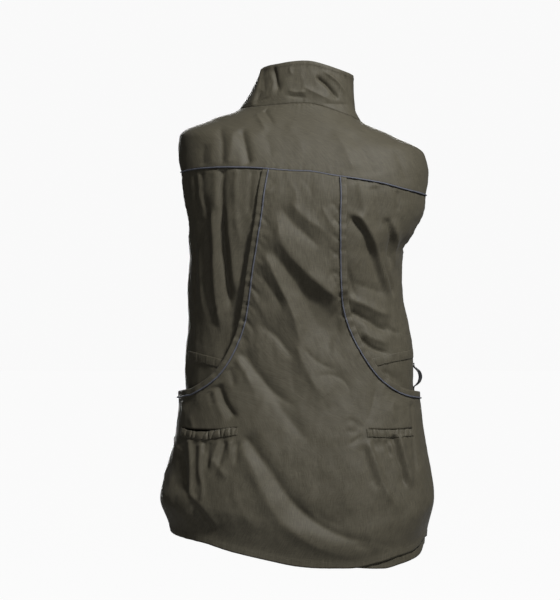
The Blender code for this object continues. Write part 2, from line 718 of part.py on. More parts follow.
def collar():
    end_left = math.radians(CENTRE_FRONT) - front_gap(0.0)
    end_right = math.radians(CENTRE_FRONT - 360) + front_gap(0.0)
    angle = np.linspace(end_right, end_left, COLLAR_COLUMNS_ROUND + 1)
    share = np.linspace(1, 0, COLLAR_ROWS + 1)[:, None]
    part = {name: smooth(COLLAR["share"], COLLAR[name], share) for name in COLLAR_COLUMNS[1:]}
    sine, cosine = np.sin(angle), np.cos(angle)
    wide = np.where(sine > 0, part["left"], part["right"])
    deep = np.where(cosine > 0, part["back"], part["front"])
    side_height = np.where(sine > 0, COLLAR_HEIGHT["left"], COLLAR_HEIGHT["right"])
    end_height = np.where(cosine > 0, COLLAR_HEIGHT["back"], COLLAR_HEIGHT["front"])
    tall = side_height * sine**2 + end_height * cosine**2
    far = reach(angle, wide, deep)
    base = rise_at(angle, 0.0) + SEAM
    z = base + share * (tall - SEAM)
    points = np.stack([far * sine, far * cosine, np.broadcast_to(z, far.shape)], axis=-1)
    cloth("collar", points, OLIVE, COLLAR_WALL)


def block(name, boxes, bevel):
    """Boxes given by their lowest and highest corners, joined into one metal solid."""
    first = None
    for low, high in boxes:
        mesh = bpy.data.meshes.new(name)
        shape = bmesh.new()
        bmesh.ops.create_cube(shape, size=1)
        for vertex in shape.verts:
            vertex.co = [low[k] + (vertex.co[k] + 0.5) * (high[k] - low[k]) for k in range(3)]
        shape.to_mesh(mesh)
        shape.free()
        piece = add_object(name if first is None else name + "_add", mesh, METAL)
        if first is None:
            first = piece
        else:
            union = first.modifiers.new("join", "BOOLEAN")
            union.operation = "UNION"
            union.object = piece
            piece.hide_render = True
            piece.display_type = "WIRE"
    edge = first.modifiers.new("edge", "BEVEL")
    edge.width = bevel
    edge.segments = 1
    edge.limit_method = "ANGLE"
    return first


def zip_slider():
    """The slider stands on the tapes, and the pull tab hangs from the bar inside its bridge."""
    centre = math.radians(CENTRE_FRONT)
    x, _, z = skin(centre, ZIP_CLOSED_TO, 0.0)
    half, tall = SLIDER["width"] / 2, SLIDER["height"] / 2
    back = skin(centre, ZIP_CLOSED_TO - tall, 0.0)[1] - SEATING
    face = back - SLIDER["depth"]
    top = face - BRIDGE["rise"]
    side, end, bar = BRIDGE["width"] / 2, BRIDGE["length"] / 2, BRIDGE["bar"]
    foot = face + BRIDGE["foot"]
    boxes = (
        ((x - half, face, z - tall), (x + half, back, z + tall)),
        ((x - side, top, z - end), (x + side, top + bar, z + end)),
        ((x - side, top, z - end), (x + side, foot, z - end + bar)),
        ((x - side, top, z + end - bar), (x + side, foot, z + end)),
    )
    block("zip_slider", boxes, SLIDER["bevel"])

    wall, wide, eye, edge = TAB["wall"] / 2, TAB["width"] / 2, TAB["eye"], TAB["side"]
    joined = eye + edge
    boxes = (
        ((-wide, -wall, -wall), (wide, wall, wall)),
        ((-wide, -wall, -joined), (-wide + edge, wall, 0)),
        ((wide - edge, -wall, -joined), (wide, wall, 0)),
        ((-wide, -wall, -TAB["length"]), (wide, wall, -eye)),
    )
    tab = block("zip_pull", boxes, TAB["bevel"])
    tab.location = (x, (face + top + bar) / 2, z)
    for modifier in tab.modifiers:
        if modifier.type == "BOOLEAN":
            modifier.object.location = tab.location


def webbing_loop():
    centre = math.radians(LOOP_ANGLE)
    path = np.array(LOOP_PATH)
    out = path[:, :1] + WEBBING_WALL + TRIM_SEATING
    height = path[:, 1:]
    turn = np.array([-0.5, 0.0, 0.5]) * LOOP_WIDTH / ring("right", height.mean())
    cloth("webbing_loop", skin(centre + turn, height, out), BLACK, WEBBING_WALL)


yoke()
back_face = inner_back()
pocket_face = game_pocket()
for side, slit in (("L", SLIT_LEFT), ("R", SLIT_RIGHT)):
    below = [(x, z - HIP_CASING_DROP) for x, z in slit]
    casing("hip_casing_" + side, below, HIP_CASING_WIDTH, HIP_GATHERS, pocket_face)
casing("waist_casing_L", WAIST_CASING_LEFT, WAIST_CASING_WIDTH, WAIST_GATHERS, back_face)
casing("waist_casing_R", WAIST_CASING_RIGHT, WAIST_CASING_WIDTH, WAIST_GATHERS, back_face)
fronts()
collar()
webbing_loop()
zip_slider()
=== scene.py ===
"""Training vest in its hanging worn form: sewn, creased poly-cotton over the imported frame."""
import math

import bmesh
import bpy
import numpy as np
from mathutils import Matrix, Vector, noise
from mathutils.bvhtree import BVHTree


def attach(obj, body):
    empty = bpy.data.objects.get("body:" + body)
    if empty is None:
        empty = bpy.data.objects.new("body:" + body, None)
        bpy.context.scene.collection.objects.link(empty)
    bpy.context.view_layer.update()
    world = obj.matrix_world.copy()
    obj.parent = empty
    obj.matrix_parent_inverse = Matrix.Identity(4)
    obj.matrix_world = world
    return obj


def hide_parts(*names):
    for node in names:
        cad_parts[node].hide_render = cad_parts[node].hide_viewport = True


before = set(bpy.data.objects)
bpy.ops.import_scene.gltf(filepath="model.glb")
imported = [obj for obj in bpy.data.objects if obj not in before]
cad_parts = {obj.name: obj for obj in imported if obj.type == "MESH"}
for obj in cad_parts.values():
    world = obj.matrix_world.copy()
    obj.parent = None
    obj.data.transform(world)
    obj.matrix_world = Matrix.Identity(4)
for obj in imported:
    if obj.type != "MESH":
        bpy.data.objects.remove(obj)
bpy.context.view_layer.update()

# Inner back: one panel of dark olive poly-cotton from the yoke seam to the hem. It is cut flat, sewn into
# the side seams, and hangs from the shoulders, so its creases run down from the yoke and slant in to the
# waist. The sides of it show beside the rear pocket, and a strip shows under the pocket's hem.

# The hanging form, one row for each ring round it. Angles run from the centre back over the vest's left.
FORM_COLUMNS = ("height", "left", "right", "back", "front", "left_rise", "right_rise", "front_rise")
FORM_ROWS = (
    (-0.840, 0.222, 0.208, 0.138, 0.130, 0.000, 0.000, 0.000),
    (-0.770, 0.226, 0.210, 0.140, 0.132, 0.000, 0.000, 0.000),
    (-0.720, 0.234, 0.213, 0.141, 0.134, 0.000, 0.000, 0.000),
    (-0.690, 0.236, 0.213, 0.141, 0.135, 0.000, 0.000, 0.000),
    (-0.640, 0.226, 0.207, 0.139, 0.137, 0.000, 0.000, 0.000),
    (-0.570, 0.210, 0.197, 0.131, 0.140, 0.000, 0.000, 0.000),
    (-0.500, 0.207, 0.191, 0.121, 0.143, 0.000, 0.000, 0.000),
    (-0.440, 0.206, 0.191, 0.115, 0.145, 0.000, 0.000, 0.000),
    (-0.390, 0.202, 0.185, 0.113, 0.146, 0.000, 0.000, 0.000),
    (-0.340, 0.203, 0.174, 0.117, 0.146, 0.000, 0.000, 0.000),
    (-0.300, 0.202, 0.171, 0.124, 0.145, 0.000, 0.000, 0.000),
    (-0.262, 0.200, 0.172, 0.130, 0.143, 0.000, 0.000, 0.000),
    (-0.220, 0.203, 0.196, 0.134, 0.139, 0.002, -0.001, -0.006),
    (-0.170, 0.214, 0.216, 0.134, 0.132, 0.009, -0.003, -0.014),
    (-0.125, 0.221, 0.218, 0.127, 0.124, 0.022, 0.001, -0.026),
    (-0.090, 0.2175, 0.2105, 0.115, 0.114, 0.036, 0.004, -0.040),
    (-0.045, 0.163, 0.156, 0.093, 0.092, 0.020, -0.009, -0.055),
    (0.000, 0.113, 0.099, 0.065, 0.072, -0.006, -0.027, -0.070),
    (0.020, 0.095, 0.085, 0.055, 0.065, -0.010, -0.030, -0.075),
)
FORM_FOOT = FORM_ROWS[0][0]
SQUARENESS = 2.4
WIDEST_SHARE = 0.9995
GIRTH_RADIUS = 0.165
CLOTH_WALL = 0.0011
SEAM_GAP = 0.0001
SIDE_SEAM_LEFT = math.radians(102)
SIDE_SEAM_RIGHT = math.radians(-96)
UNDERARM = -0.263

# Seams as x and z seen from behind, from the vest's right to its left.
YOKE_SEAM = (
    (-0.2097, -0.158), (-0.178, -0.151), (-0.121, -0.138), (-0.050, -0.128), (0.000, -0.1205),
    (0.062, -0.1165), (0.135, -0.113), (0.178, -0.114), (0.2120, -0.118),
)
INNER_HEM = (
    (-0.205, -0.762), (-0.195, -0.775), (-0.155, -0.788), (-0.130, -0.7935), (-0.080, -0.7905),
    (-0.040, -0.787), (0.000, -0.783), (0.070, -0.771), (0.120, -0.759), (0.170, -0.745), (0.226, -0.736),
)
ARMHOLE_RIGHT = (
    (-0.2075, -0.1815), (-0.2029, -0.197), (-0.1915, -0.217), (-0.180, -0.237), (-0.1705, -0.2495),
)
ARMHOLE_LEFT = ((0.2085, -0.160), (0.2020, -0.192), (0.1990, -0.212))
# Angles in degrees and heights, where the left armhole turns into the side seam.
UNDERARM_LEFT = ((85, -0.234), (91, -0.250), (97, -0.259))

# The pixel in the middle of the photo, its x and z on the vest, the camera's distance, and a pixel's size
# on the back.
PHOTO_MIDDLE = (280, 300)
MIDDLE_PLACE = (0.042, -0.339)
CAMERA_AWAY = 4.0
BACK_PIXEL = 0.00169

# Creases, one row for each: how far the cloth stands out or in, how wide the crease is on the vest's left
# and right of it, the shares of its length over which it rises and fades, and the photo's pixels that it
# runs through, from the top.
BACK_CREASES = (
    # gathers below the yoke seam, on the left
    (-0.0026, 0.003, 0.004, 0.04, 0.3, (192, 170), (194, 189), (197, 214)),
    (0.0022, 0.0035, 0.0035, 0.04, 0.3, (197, 170), (200, 190), (204, 214)),
    (-0.0045, 0.003, 0.004, 0.04, 0.2, (200, 169), (201, 188), (205, 206), (209, 222)),
    (0.0026, 0.0045, 0.005, 0.04, 0.3, (214, 169), (215, 190), (216, 214)),
    (-0.0065, 0.0035, 0.0045, 0.03, 0.25, (222, 168), (221, 184), (221, 200), (222, 222)),
    (-0.008, 0.004, 0.0045, 0.15, 0.2, (221, 205), (222, 228), (224, 255), (227, 285), (229, 315)),
    (0.006, 0.0045, 0.014, 0.2, 0.25, (228, 196), (228, 222), (231, 250), (234, 280), (237, 305)),
    (0.0032, 0.006, 0.005, 0.04, 0.3, (236, 168), (235, 190), (237, 218), (243, 250)),
    (-0.003, 0.0035, 0.004, 0.04, 0.3, (252, 170), (250, 193), (248, 220)),
    # the long fold down the left side
    (0.0075, 0.004, 0.009, 0.15, 0.2, (211, 200), (213, 236), (214, 270), (216, 300), (220, 336)),
    (-0.004, 0.008, 0.004, 0.2, 0.2, (204, 212), (207, 245), (209, 285), (213, 325)),
    (0.0028, 0.003, 0.0035, 0.2, 0.3, (197, 238), (199, 281), (205, 322)),
    (-0.0022, 0.004, 0.004, 0.2, 0.3, (191, 230), (193, 280), (198, 330)),
    (-0.0034, 0.008, 0.005, 0.2, 0.2, (250, 222), (245, 262), (238, 300), (229, 332)),
    (-0.0032, 0.0035, 0.0035, 0.4, 0.4, (211, 305), (218, 312)),
    # the drag folds from the right shoulder to the waist
    (-0.0065, 0.013, 0.0045, 0.12, 0.3, (345, 214), (356, 221), (363, 230), (369, 242), (374, 257),
     (379, 272), (383, 287), (389, 302)),
    (0.01, 0.005, 0.011, 0.12, 0.25, (350, 212), (360, 218), (367, 227), (373, 239), (378, 254),
     (383, 269), (387, 284), (393, 300)),
    (-0.005, 0.004, 0.0035, 0.2, 0.15, (379, 240), (381, 254), (385, 266), (391, 280), (398, 298)),
    (-0.007, 0.006, 0.0035, 0.12, 0.3, (387, 216), (391, 227), (393, 241), (392, 256), (394, 270)),
    (0.006, 0.0035, 0.008, 0.2, 0.3, (391, 216), (395, 228), (397, 243), (396, 258), (398, 270)),
    (-0.0026, 0.003, 0.003, 0.05, 0.3, (399, 190), (398, 214)),
    (-0.003, 0.006, 0.007, 0.05, 0.3, (374, 186), (380, 212), (379, 232)),
    (0.0034, 0.008, 0.008, 0.05, 0.3, (360, 182), (362, 200), (370, 220)),
    (-0.003, 0.008, 0.008, 0.3, 0.3, (348, 278), (358, 284), (370, 288), (382, 292), (392, 293)),
    (0.006, 0.007, 0.009, 0.15, 0.25, (347, 297), (358, 302), (370, 307), (382, 313), (396, 316)),
    (-0.008, 0.005, 0.008, 0.12, 0.25, (349, 311), (358, 316), (370, 322), (382, 329), (396, 333)),
    (0.0036, 0.0035, 0.008, 0.2, 0.3, (361, 330), (370, 337), (382, 342), (393, 346)),
    (-0.007, 0.0035, 0.004, 0.15, 0.35, (360, 337), (370, 347), (382, 352), (394, 355)),
    (-0.0036, 0.0035, 0.0035, 0.3, 0.3, (386, 322), (393, 331), (403, 335)),
    (-0.003, 0.004, 0.005, 0.2, 0.4, (383, 371), (396, 379), (404, 388)),
    (-0.004, 0.005, 0.005, 0.3, 0.3, (347, 262), (352, 285), (360, 305)),
)
CREASE_PROFILE = 1.25
CREASE_REACH = 2.6
STEPS_PER_PLACE = 6


def by_name(names, rows):
    """The columns of a short table, each under its name."""
    return {name: np.array(column) for name, column in zip(names, zip(*rows))}


FORM = by_name(FORM_COLUMNS, FORM_ROWS)


def smooth(xs, ys, x):
    """A cubic through the points that never overshoots them; xs rise."""
    xs, ys, x = np.asarray(xs, float), np.asarray(ys, float), np.asarray(x, float)
    step = np.diff(xs)
    rise = np.diff(ys) / step
    slope = np.zeros(len(xs))
    same = rise[:-1] * rise[1:] > 0
    slope[1:-1][same] = 2 * rise[:-1][same] * rise[1:][same] / (rise[:-1] + rise[1:])[same]
    slope[0] = rise[0]
    slope[-1] = rise[-1]
    k = np.clip(np.searchsorted(xs, x) - 1, 0, len(step) - 1)
    t = np.clip((x - xs[k]) / step[k], 0, 1)
    start = (1 + 2 * t) * (1 - t) ** 2 * ys[k] + t * (1 - t) ** 2 * step[k] * slope[k]
    end = t * t * (3 - 2 * t) * ys[k + 1] - t * t * (1 - t) * step[k] * slope[k + 1]
    return start + end


def ease(value):
    """0 below 0, 1 above 1, smooth between."""
    t = np.clip(value, 0, 1)
    return t * t * (3 - 2 * t)


def unit(vectors):
    return vectors / np.linalg.norm(vectors, axis=-1, keepdims=True)


def ring(column, height):
    return smooth(FORM["height"], FORM[column], height)


def reach(angle, wide, deep):
    """How far a ring stands from the middle: between an ellipse and a rectangle."""
    sides = (np.abs(np.sin(angle)) / wide) ** SQUARENESS + (np.abs(np.cos(angle)) / deep) ** SQUARENESS
    return sides ** (-1 / SQUARENESS)


def rise_at(angle, height):
    """How far a ring rises over the shoulders and drops at the front."""
    sine, cosine = np.sin(angle), np.cos(angle)
    side = np.where(sine > 0, ring("left_rise", height), ring("right_rise", height))
    front = np.where(cosine < 0, ring("front_rise", height), 0)
    return side * sine**2 + front * cosine**2


def form(angle, height):
    wide = np.where(np.sin(angle) > 0, ring("left", height), ring("right", height))
    deep = np.where(np.cos(angle) > 0, ring("back", height), ring("front", height))
    far = reach(angle, wide, deep)
    return np.stack([far * np.sin(angle), far * np.cos(angle), height + rise_at(angle, height)], axis=-1)


def outward(angle, height):
    small = 0.002
    around = form(angle + small, height) - form(angle - small, height)
    down = form(angle, height - small) - form(angle, height + small)
    return unit(np.cross(around, down))


def skin(angle, height, out):
    """Points at a distance off the form."""
    angle, height, out = np.broadcast_arrays(np.asarray(angle, float), np.asarray(height, float), out)
    return form(angle, height) + out[..., None] * outward(angle, height)


HEM_SWING = 0.012
SWING_STARTS = -0.700
SWING_DROP = 0.080
SWING_ENDS = math.radians(85)
SWING_TURN = math.radians(35)
SETTLING_ROUNDS = 8


def hem_swing(angle, height):
    """How far the back and the pocket swing out together near their hems."""
    lower = ease((SWING_STARTS - height) / SWING_DROP)
    return HEM_SWING * lower * ease((SWING_ENDS - np.abs(angle)) / SWING_TURN)


def on_back(x, z):
    """The angle and height of a point of the back that shows at x, z."""
    height, before = z, math.inf
    while abs(height - before) > 1e-6:
        wide = ring("left" if x > 0 else "right", height)
        share = min(abs(x) / wide, WIDEST_SHARE)
        y = ring("back", height) * (1 - share**SQUARENESS) ** (1 / SQUARENESS)
        angle = math.atan2(share * wide * math.copysign(1, x), y)
        before, height = height, z - float(rise_at(angle, height))
    return angle, height


def mapped(points, lift=None):
    """The angle and height of points seen from behind, on cloth that stands a lift off the form."""
    found = []
    rounds = SETTLING_ROUNDS if lift else 1
    for x, z in points:
        aim = np.array([x, z])
        for _ in range(rounds):
            angle, height = on_back(*aim)
            if lift:
                aim = aim + (x, z) - skin(angle, height, lift(angle, height))[[0, 2]]
        found.append((angle, height))
    return np.array(found)


def lengths(path):
    """How far along a line each of its points lies."""
    return np.append(0, np.cumsum(np.linalg.norm(np.diff(path, axis=0), axis=1)))


def evened(line, length, count):
    """Evenly spaced points on a smooth line, from points of it and how far along it they lie."""
    at = np.linspace(0, length[-1], count)
    return np.stack([smooth(length, part, at) for part in line.T], axis=-1)


def along(line, count):
    """Evenly spaced points on a smooth line of angle and height."""
    return evened(line, lengths(line * (GIRTH_RADIUS, 1)), count)


def line_height(points):
    """A seam's height as a function of the angle."""
    line = mapped(points)
    return lambda angle: smooth(line[:, 0], line[:, 1], angle)


def edge_angles(corner, armhole, side_angle, underarm=()):
    """The back's edge, down the armhole and the side seam, as a function of the height."""
    curve = [(math.radians(angle), height) for angle, height in underarm]
    line = np.array([corner, *mapped(armhole), *curve, (side_angle, UNDERARM), (side_angle, FORM_FOOT)])[::-1]
    return lambda height: smooth(line[:, 1], line[:, 0], height)


def seen_at(pixel, size):
    """The x and z, to a millimetre, of what the photo shows at a pixel."""
    across, down = pixel
    x = MIDDLE_PLACE[0] - (across - PHOTO_MIDDLE[0]) * size
    z = MIDDLE_PLACE[1] - (down - PHOTO_MIDDLE[1]) * size
    return round(x, 3), round(z, 3)


def traced(places, lift=None):
    """A crease's line on the flat cloth, from the pixels that it runs through."""
    line = mapped([seen_at(pixel, BACK_PIXEL) for pixel in places], lift)
    return along(line, STEPS_PER_PLACE * len(places)) * (GIRTH_RADIUS, 1)


def creased(creases, flat, trace):
    """How far the creases move the cloth. A crease is steep on its narrow side and fades at both ends."""
    total = np.zeros(flat.shape[:-1])
    for rise, left, right, start, end, *places in creases:
        line = trace(places)
        margin = CREASE_REACH * max(left, right)
        near = np.all((flat > line.min(0) - margin) & (flat < line.max(0) + margin), axis=-1)
        spots = flat[near]
        nearest = np.full(len(spots), np.inf)
        place, side = np.zeros(len(spots)), np.zeros(len(spots))
        for k, (a, b) in enumerate(zip(line[:-1], line[1:])):
            t = np.clip(((spots - a) @ (b - a)) / ((b - a) @ (b - a)), 0, 1)
            off = spots - a - t[:, None] * (b - a)
            far = np.linalg.norm(off, axis=-1)
            closer = far < nearest
            nearest = np.where(closer, far, nearest)
            place = np.where(closer, (k + t) / (len(line) - 1), place)
            side = np.where(closer, (b - a)[0] * off[:, 1] - (b - a)[1] * off[:, 0], side)
        wide = np.where(side > 0, left, right)
        fade = ease(place / start) * ease((1 - place) / end)
        total[near] += rise * np.exp(-((nearest / wide) ** CREASE_PROFILE)) * fade
    return total


# Rumples of worn cloth: how much longer they are down the panel, the falloff, fineness and layers of the
# soft and the sharp noise, how much coarser the sharp one is, and its share.
RUMPLE_STRETCH = 1.8
SOFT_NOISE = (0.9, 2.1, 3)
SHARP_NOISE = (1.0, 2.0, 2, 1.0, 2.0)
SHARP_COARSER = 0.6
SHARP_SHARE = 0.35
PUCKER_LENGTH = 0.0085
PUCKER_DRAW = 0.05
PUCKER_REACH = 0.010


def crumpled(points, size, depth, seed):
    """Small uneven rumples of worn cloth, drawn out along the hang of the panel."""
    flat = points.reshape(-1, 3) / (size, size, size * RUMPLE_STRETCH) + seed
    spots = [Vector(spot) for spot in flat]
    soft = np.array([noise.fractal(spot, *SOFT_NOISE) for spot in spots])
    sharp = np.array([noise.ridged_multi_fractal(spot * SHARP_COARSER, *SHARP_NOISE) for spot in spots])
    return depth * (soft + SHARP_SHARE * (sharp - sharp.mean())).reshape(points.shape[:-1])


def puckered(run, away, depth, seed):
    """Ripples that a seam's thread draws up: across the seam, and gone a little way from it."""
    run, away = np.broadcast_arrays(run, away)
    spots = np.stack([run / PUCKER_LENGTH + seed, away / PUCKER_DRAW, np.full(run.shape, seed)], axis=-1)
    wave = np.array([noise.noise(Vector(spot)) for spot in spots.reshape(-1, 3)]).reshape(run.shape)
    return depth * wave * np.exp(-np.abs(away) / PUCKER_REACH)


def nearest_edge(flat, lines):
    """How far each point of the flat cloth lies from the nearest of some edge lines."""
    found = np.full(flat.shape[:-1], np.inf)
    for line in lines:
        for a, b in zip(line[:-1], line[1:]):
            t = np.clip(((flat - a) @ (b - a)) / max((b - a) @ (b - a), 1e-12), 0, 1)
            found = np.minimum(found, np.linalg.norm(flat - a - t[..., None] * (b - a), axis=-1))
    return found


def run_length(grid, axis):
    """How far each point lies along its row or column, in metres of cloth."""
    step = np.linalg.norm(np.diff(grid, axis=axis), axis=-1)
    start = np.zeros_like(np.take(step, [0], axis=axis))
    return np.concatenate([start, np.cumsum(step, axis=axis)], axis=axis)


def run_back(grid, axis):
    """How far each point lies from the far end of its row or column."""
    return np.flip(run_length(np.flip(grid, axis), axis), axis)


def face_normals(grid):
    """The outward normal at each point of a panel."""
    return unit(np.cross(np.gradient(grid, axis=1), np.gradient(grid, axis=0)))


FACE_CORNERS = ((0, 0), (0, 1), (1, 1), (1, 0))


def panel_faces(rows, columns, left_out=None):
    return [
        tuple((r + down) * columns + c + across for down, across in FACE_CORNERS)
        for r in range(rows - 1)
        for c in range(columns - 1)
        if left_out is None or not left_out[r, c]
    ]


def thread_lines(mesh, flat):
    """Gives a mesh the places of its points on the flat cloth, in metres, for its weave."""
    corners = np.zeros(len(mesh.loops), int)
    mesh.loops.foreach_get("vertex_index", corners)
    mesh.uv_layers.new(name="cloth").data.foreach_set("uv", flat[corners].ravel())


def in_scene(name, mesh, material):
    mesh.materials.append(material)
    piece = bpy.data.objects.new(name, mesh)
    bpy.context.scene.collection.objects.link(piece)
    return piece


def sewn(name, grid, material, wall=CLOTH_WALL, left_out=None):
    """A piece of cloth from the points of its outer face, with its thickness and thread lines."""
    used, faces = np.unique(panel_faces(*grid.shape[:2], left_out), return_inverse=True)
    mesh = bpy.data.meshes.new(name)
    mesh.from_pydata(grid.reshape(-1, 3)[used].tolist(), [], faces.reshape(-1, 4).tolist())
    mesh.shade_smooth()
    thread_lines(mesh, np.stack([run_length(grid, 1), -run_length(grid, 0)], axis=-1).reshape(-1, 2)[used])
    piece = in_scene(name, mesh, material)
    thick = piece.modifiers.new("wall", "SOLIDIFY")
    thick.thickness = wall
    thick.offset = -1
    return piece


def shader_group(name, inputs, outputs):
    """An effect that several finishes share, with its named inputs and outputs."""
    group = bpy.data.node_groups.new(name, "ShaderNodeTree")
    for label, kind, value in inputs:
        group.interface.new_socket(label, in_out="INPUT", socket_type=kind).default_value = value
    for label, kind in outputs:
        group.interface.new_socket(label, in_out="OUTPUT", socket_type=kind)
    return group, group.nodes.new("NodeGroupInput"), group.nodes.new("NodeGroupOutput")


def math_node(tree, operation, first, second=None):
    node = tree.nodes.new("ShaderNodeMath")
    node.operation = operation
    for socket, value in zip(node.inputs, (first, second)):
        if isinstance(value, (int, float)):
            socket.default_value = value
        elif value is not None:
            tree.links.new(value, socket)
    return node.outputs[0]


# Woven threads: fine slanting twill lines with uneven, slubbed yarn, on the cloth's own thread lines. A
# yarn's grain is its changes to the metre, crossways and lengthways.
TWILL_SLANT = 0.8
TWILL_SHADE = 0.10
YARN_GRAINS = ((1800.0, 45.0), (60.0, 1500.0), (520.0, 70.0))
weave, weave_in, weave_out = shader_group(
    "woven threads",
    (("Pitch", "NodeSocketFloat", 0.0011), ("Slub", "NodeSocketFloat", 0.15)),
    (("Height", "NodeSocketFloat"), ("Tone", "NodeSocketFloat")),
)
threads = weave.nodes.new("ShaderNodeUVMap")
threads.uv_map = "cloth"
split = weave.nodes.new("ShaderNodeSeparateXYZ")
weave.links.new(threads.outputs[0], split.inputs[0])
slant = math_node(weave, "ADD", split.outputs[0], math_node(weave, "MULTIPLY", split.outputs[1], TWILL_SLANT))
turns = math_node(weave, "MULTIPLY", slant, 2 * math.pi)
turns = math_node(weave, "DIVIDE", turns, weave_in.outputs["Pitch"])
twill = math_node(weave, "ADD", math_node(weave, "MULTIPLY", math_node(weave, "SINE", turns), 0.5), 0.5)
yarn = []
for crossways, lengthways in YARN_GRAINS:
    stretch = weave.nodes.new("ShaderNodeMapping")
    stretch.inputs["Scale"].default_value = (crossways, lengthways, 1)
    weave.links.new(threads.outputs[0], stretch.inputs["Vector"])
    grain = weave.nodes.new("ShaderNodeTexNoise")
    grain.inputs["Scale"].default_value = 1.0
    grain.inputs["Detail"].default_value = 2.0
    weave.links.new(stretch.outputs[0], grain.inputs["Vector"])
    yarn.append(grain.outputs["Fac"])
slubs = math_node(weave, "SUBTRACT", math_node(weave, "ADD", yarn[0], yarn[1]), 1.0)
slubs = math_node(weave, "ADD", slubs, math_node(weave, "SUBTRACT", yarn[2], 0.5))
uneven = math_node(weave, "MULTIPLY", slubs, weave_in.outputs["Slub"])
weave.links.new(math_node(weave, "ADD", twill, uneven), weave_out.inputs["Height"])
shade = math_node(weave, "MULTIPLY", math_node(weave, "SUBTRACT", twill, 0.5), TWILL_SHADE)
shade = math_node(weave, "ADD", shade, 1.0)
weave.links.new(math_node(weave, "ADD", shade, uneven), weave_out.inputs["Tone"])

# Dye and wear: broad uneven fading, as after many washes, over the dyed colour. The patches are broad and
# small ones, as noise cells to the metre and layers.
FADED_PATCHES = ((9.0, 3.0), (60.0, 4.0))
FADING_CONTRAST = 1.4
FADING_START = 0.9
dye, dye_in, dye_out = shader_group(
    "dye and wear",
    (("Dyed", "NodeSocketColor", (0.1, 0.1, 0.1, 1)), ("Worn", "NodeSocketColor", (0.2, 0.2, 0.2, 1)),
     ("Wear", "NodeSocketFloat", 0.4), ("Tone", "NodeSocketFloat", 1.0)),
    (("Colour", "NodeSocketColor"), ("Fading", "NodeSocketFloat")),
)
place = dye.nodes.new("ShaderNodeTexCoord")
clouds = []
for size, detail in FADED_PATCHES:
    cloud = dye.nodes.new("ShaderNodeTexNoise")
    cloud.inputs["Scale"].default_value = size
    cloud.inputs["Detail"].default_value = detail
    dye.links.new(place.outputs["Object"], cloud.inputs["Vector"])
    clouds.append(cloud.outputs["Fac"])
spread = math_node(dye, "MULTIPLY", math_node(dye, "ADD", *clouds), FADING_CONTRAST)
spread = math_node(dye, "SUBTRACT", spread, FADING_START)
spread = math_node(dye, "MAXIMUM", math_node(dye, "MINIMUM", spread, 1.0), 0.0)
fading = math_node(dye, "MULTIPLY", spread, dye_in.outputs["Wear"])
faded = dye.nodes.new("ShaderNodeMix")
faded.data_type = "RGBA"
dye.links.new(fading, faded.inputs["Factor"])
dye.links.new(dye_in.outputs["Dyed"], faded.inputs["A"])
dye.links.new(dye_in.outputs["Worn"], faded.inputs["B"])
toned = dye.nodes.new("ShaderNodeVectorMath")
toned.operation = "SCALE"
dye.links.new(faded.outputs["Result"], toned.inputs[0])
dye.links.new(dye_in.outputs["Tone"], toned.inputs["Scale"])
dye.links.new(toned.outputs[0], dye_out.inputs["Colour"])
dye.links.new(fading, dye_out.inputs["Fading"])

WORN_ROUGHER = 0.12


def woven_finish(name, dyed, worn, wear, pitch, slub, rough, relief, sheen):
    """A woven finish: dyed yarn in twill lines, faded here and there, with the soft sheen of its fibre."""
    material = bpy.data.materials.new(name)
    material.use_nodes = True
    tree = material.node_tree
    shader = tree.nodes["Principled BSDF"]
    threads_of = tree.nodes.new("ShaderNodeGroup")
    threads_of.node_tree = weave
    threads_of.inputs["Pitch"].default_value = pitch
    threads_of.inputs["Slub"].default_value = slub
    dye_of = tree.nodes.new("ShaderNodeGroup")
    dye_of.node_tree = dye
    dye_of.inputs["Dyed"].default_value = (*dyed, 1)
    dye_of.inputs["Worn"].default_value = (*worn, 1)
    dye_of.inputs["Wear"].default_value = wear
    tree.links.new(threads_of.outputs["Tone"], dye_of.inputs["Tone"])
    tree.links.new(dye_of.outputs["Colour"], shader.inputs["Base Color"])
    rougher = math_node(tree, "MULTIPLY", dye_of.outputs["Fading"], WORN_ROUGHER)
    tree.links.new(math_node(tree, "ADD", rougher, rough), shader.inputs["Roughness"])
    bump = tree.nodes.new("ShaderNodeBump")
    bump.inputs["Strength"].default_value = 0.35
    bump.inputs["Distance"].default_value = relief
    tree.links.new(threads_of.outputs["Height"], bump.inputs["Height"])
    tree.links.new(bump.outputs[0], shader.inputs["Normal"])
    shader.inputs["Specular IOR Level"].default_value = 0.30
    shader.inputs["Sheen Weight"].default_value = sheen
    shader.inputs["Sheen Roughness"].default_value = 0.45
    return material


olive = woven_finish("olive poly-cotton", dyed=(0.072, 0.064, 0.044), worn=(0.094, 0.085, 0.060), wear=0.5,
                     pitch=0.0011, slub=0.70, rough=0.60, relief=0.00012, sheen=0.05)


def at_length(distance, length, line):
    """Where a line is after a distance along it."""
    return np.stack([np.interp(distance, length, part) for part in line.T], axis=-1)


def inset(grid, edge, distance):
    """A line on a panel at a distance from one edge, with the outward normals along it."""
    normal = face_normals(grid)
    if edge in ("left", "right"):
        grid, normal = grid.transpose(1, 0, 2), normal.transpose(1, 0, 2)
    if edge in ("bottom", "left"):
        grid, normal = grid[::-1], normal[::-1]
    depth = run_length(grid, 0)
    columns = range(grid.shape[1])
    path = np.array([at_length(distance, depth[:, column], grid[:, column]) for column in columns])
    out = np.array([at_length(distance, depth[:, column], normal[:, column]) for column in columns])
    return path, unit(out)


STITCH_SPACING = 0.0031
STITCH_LENGTH = 0.0023
STITCH_AHEAD = 0.0008
STITCH_SIDES = 4
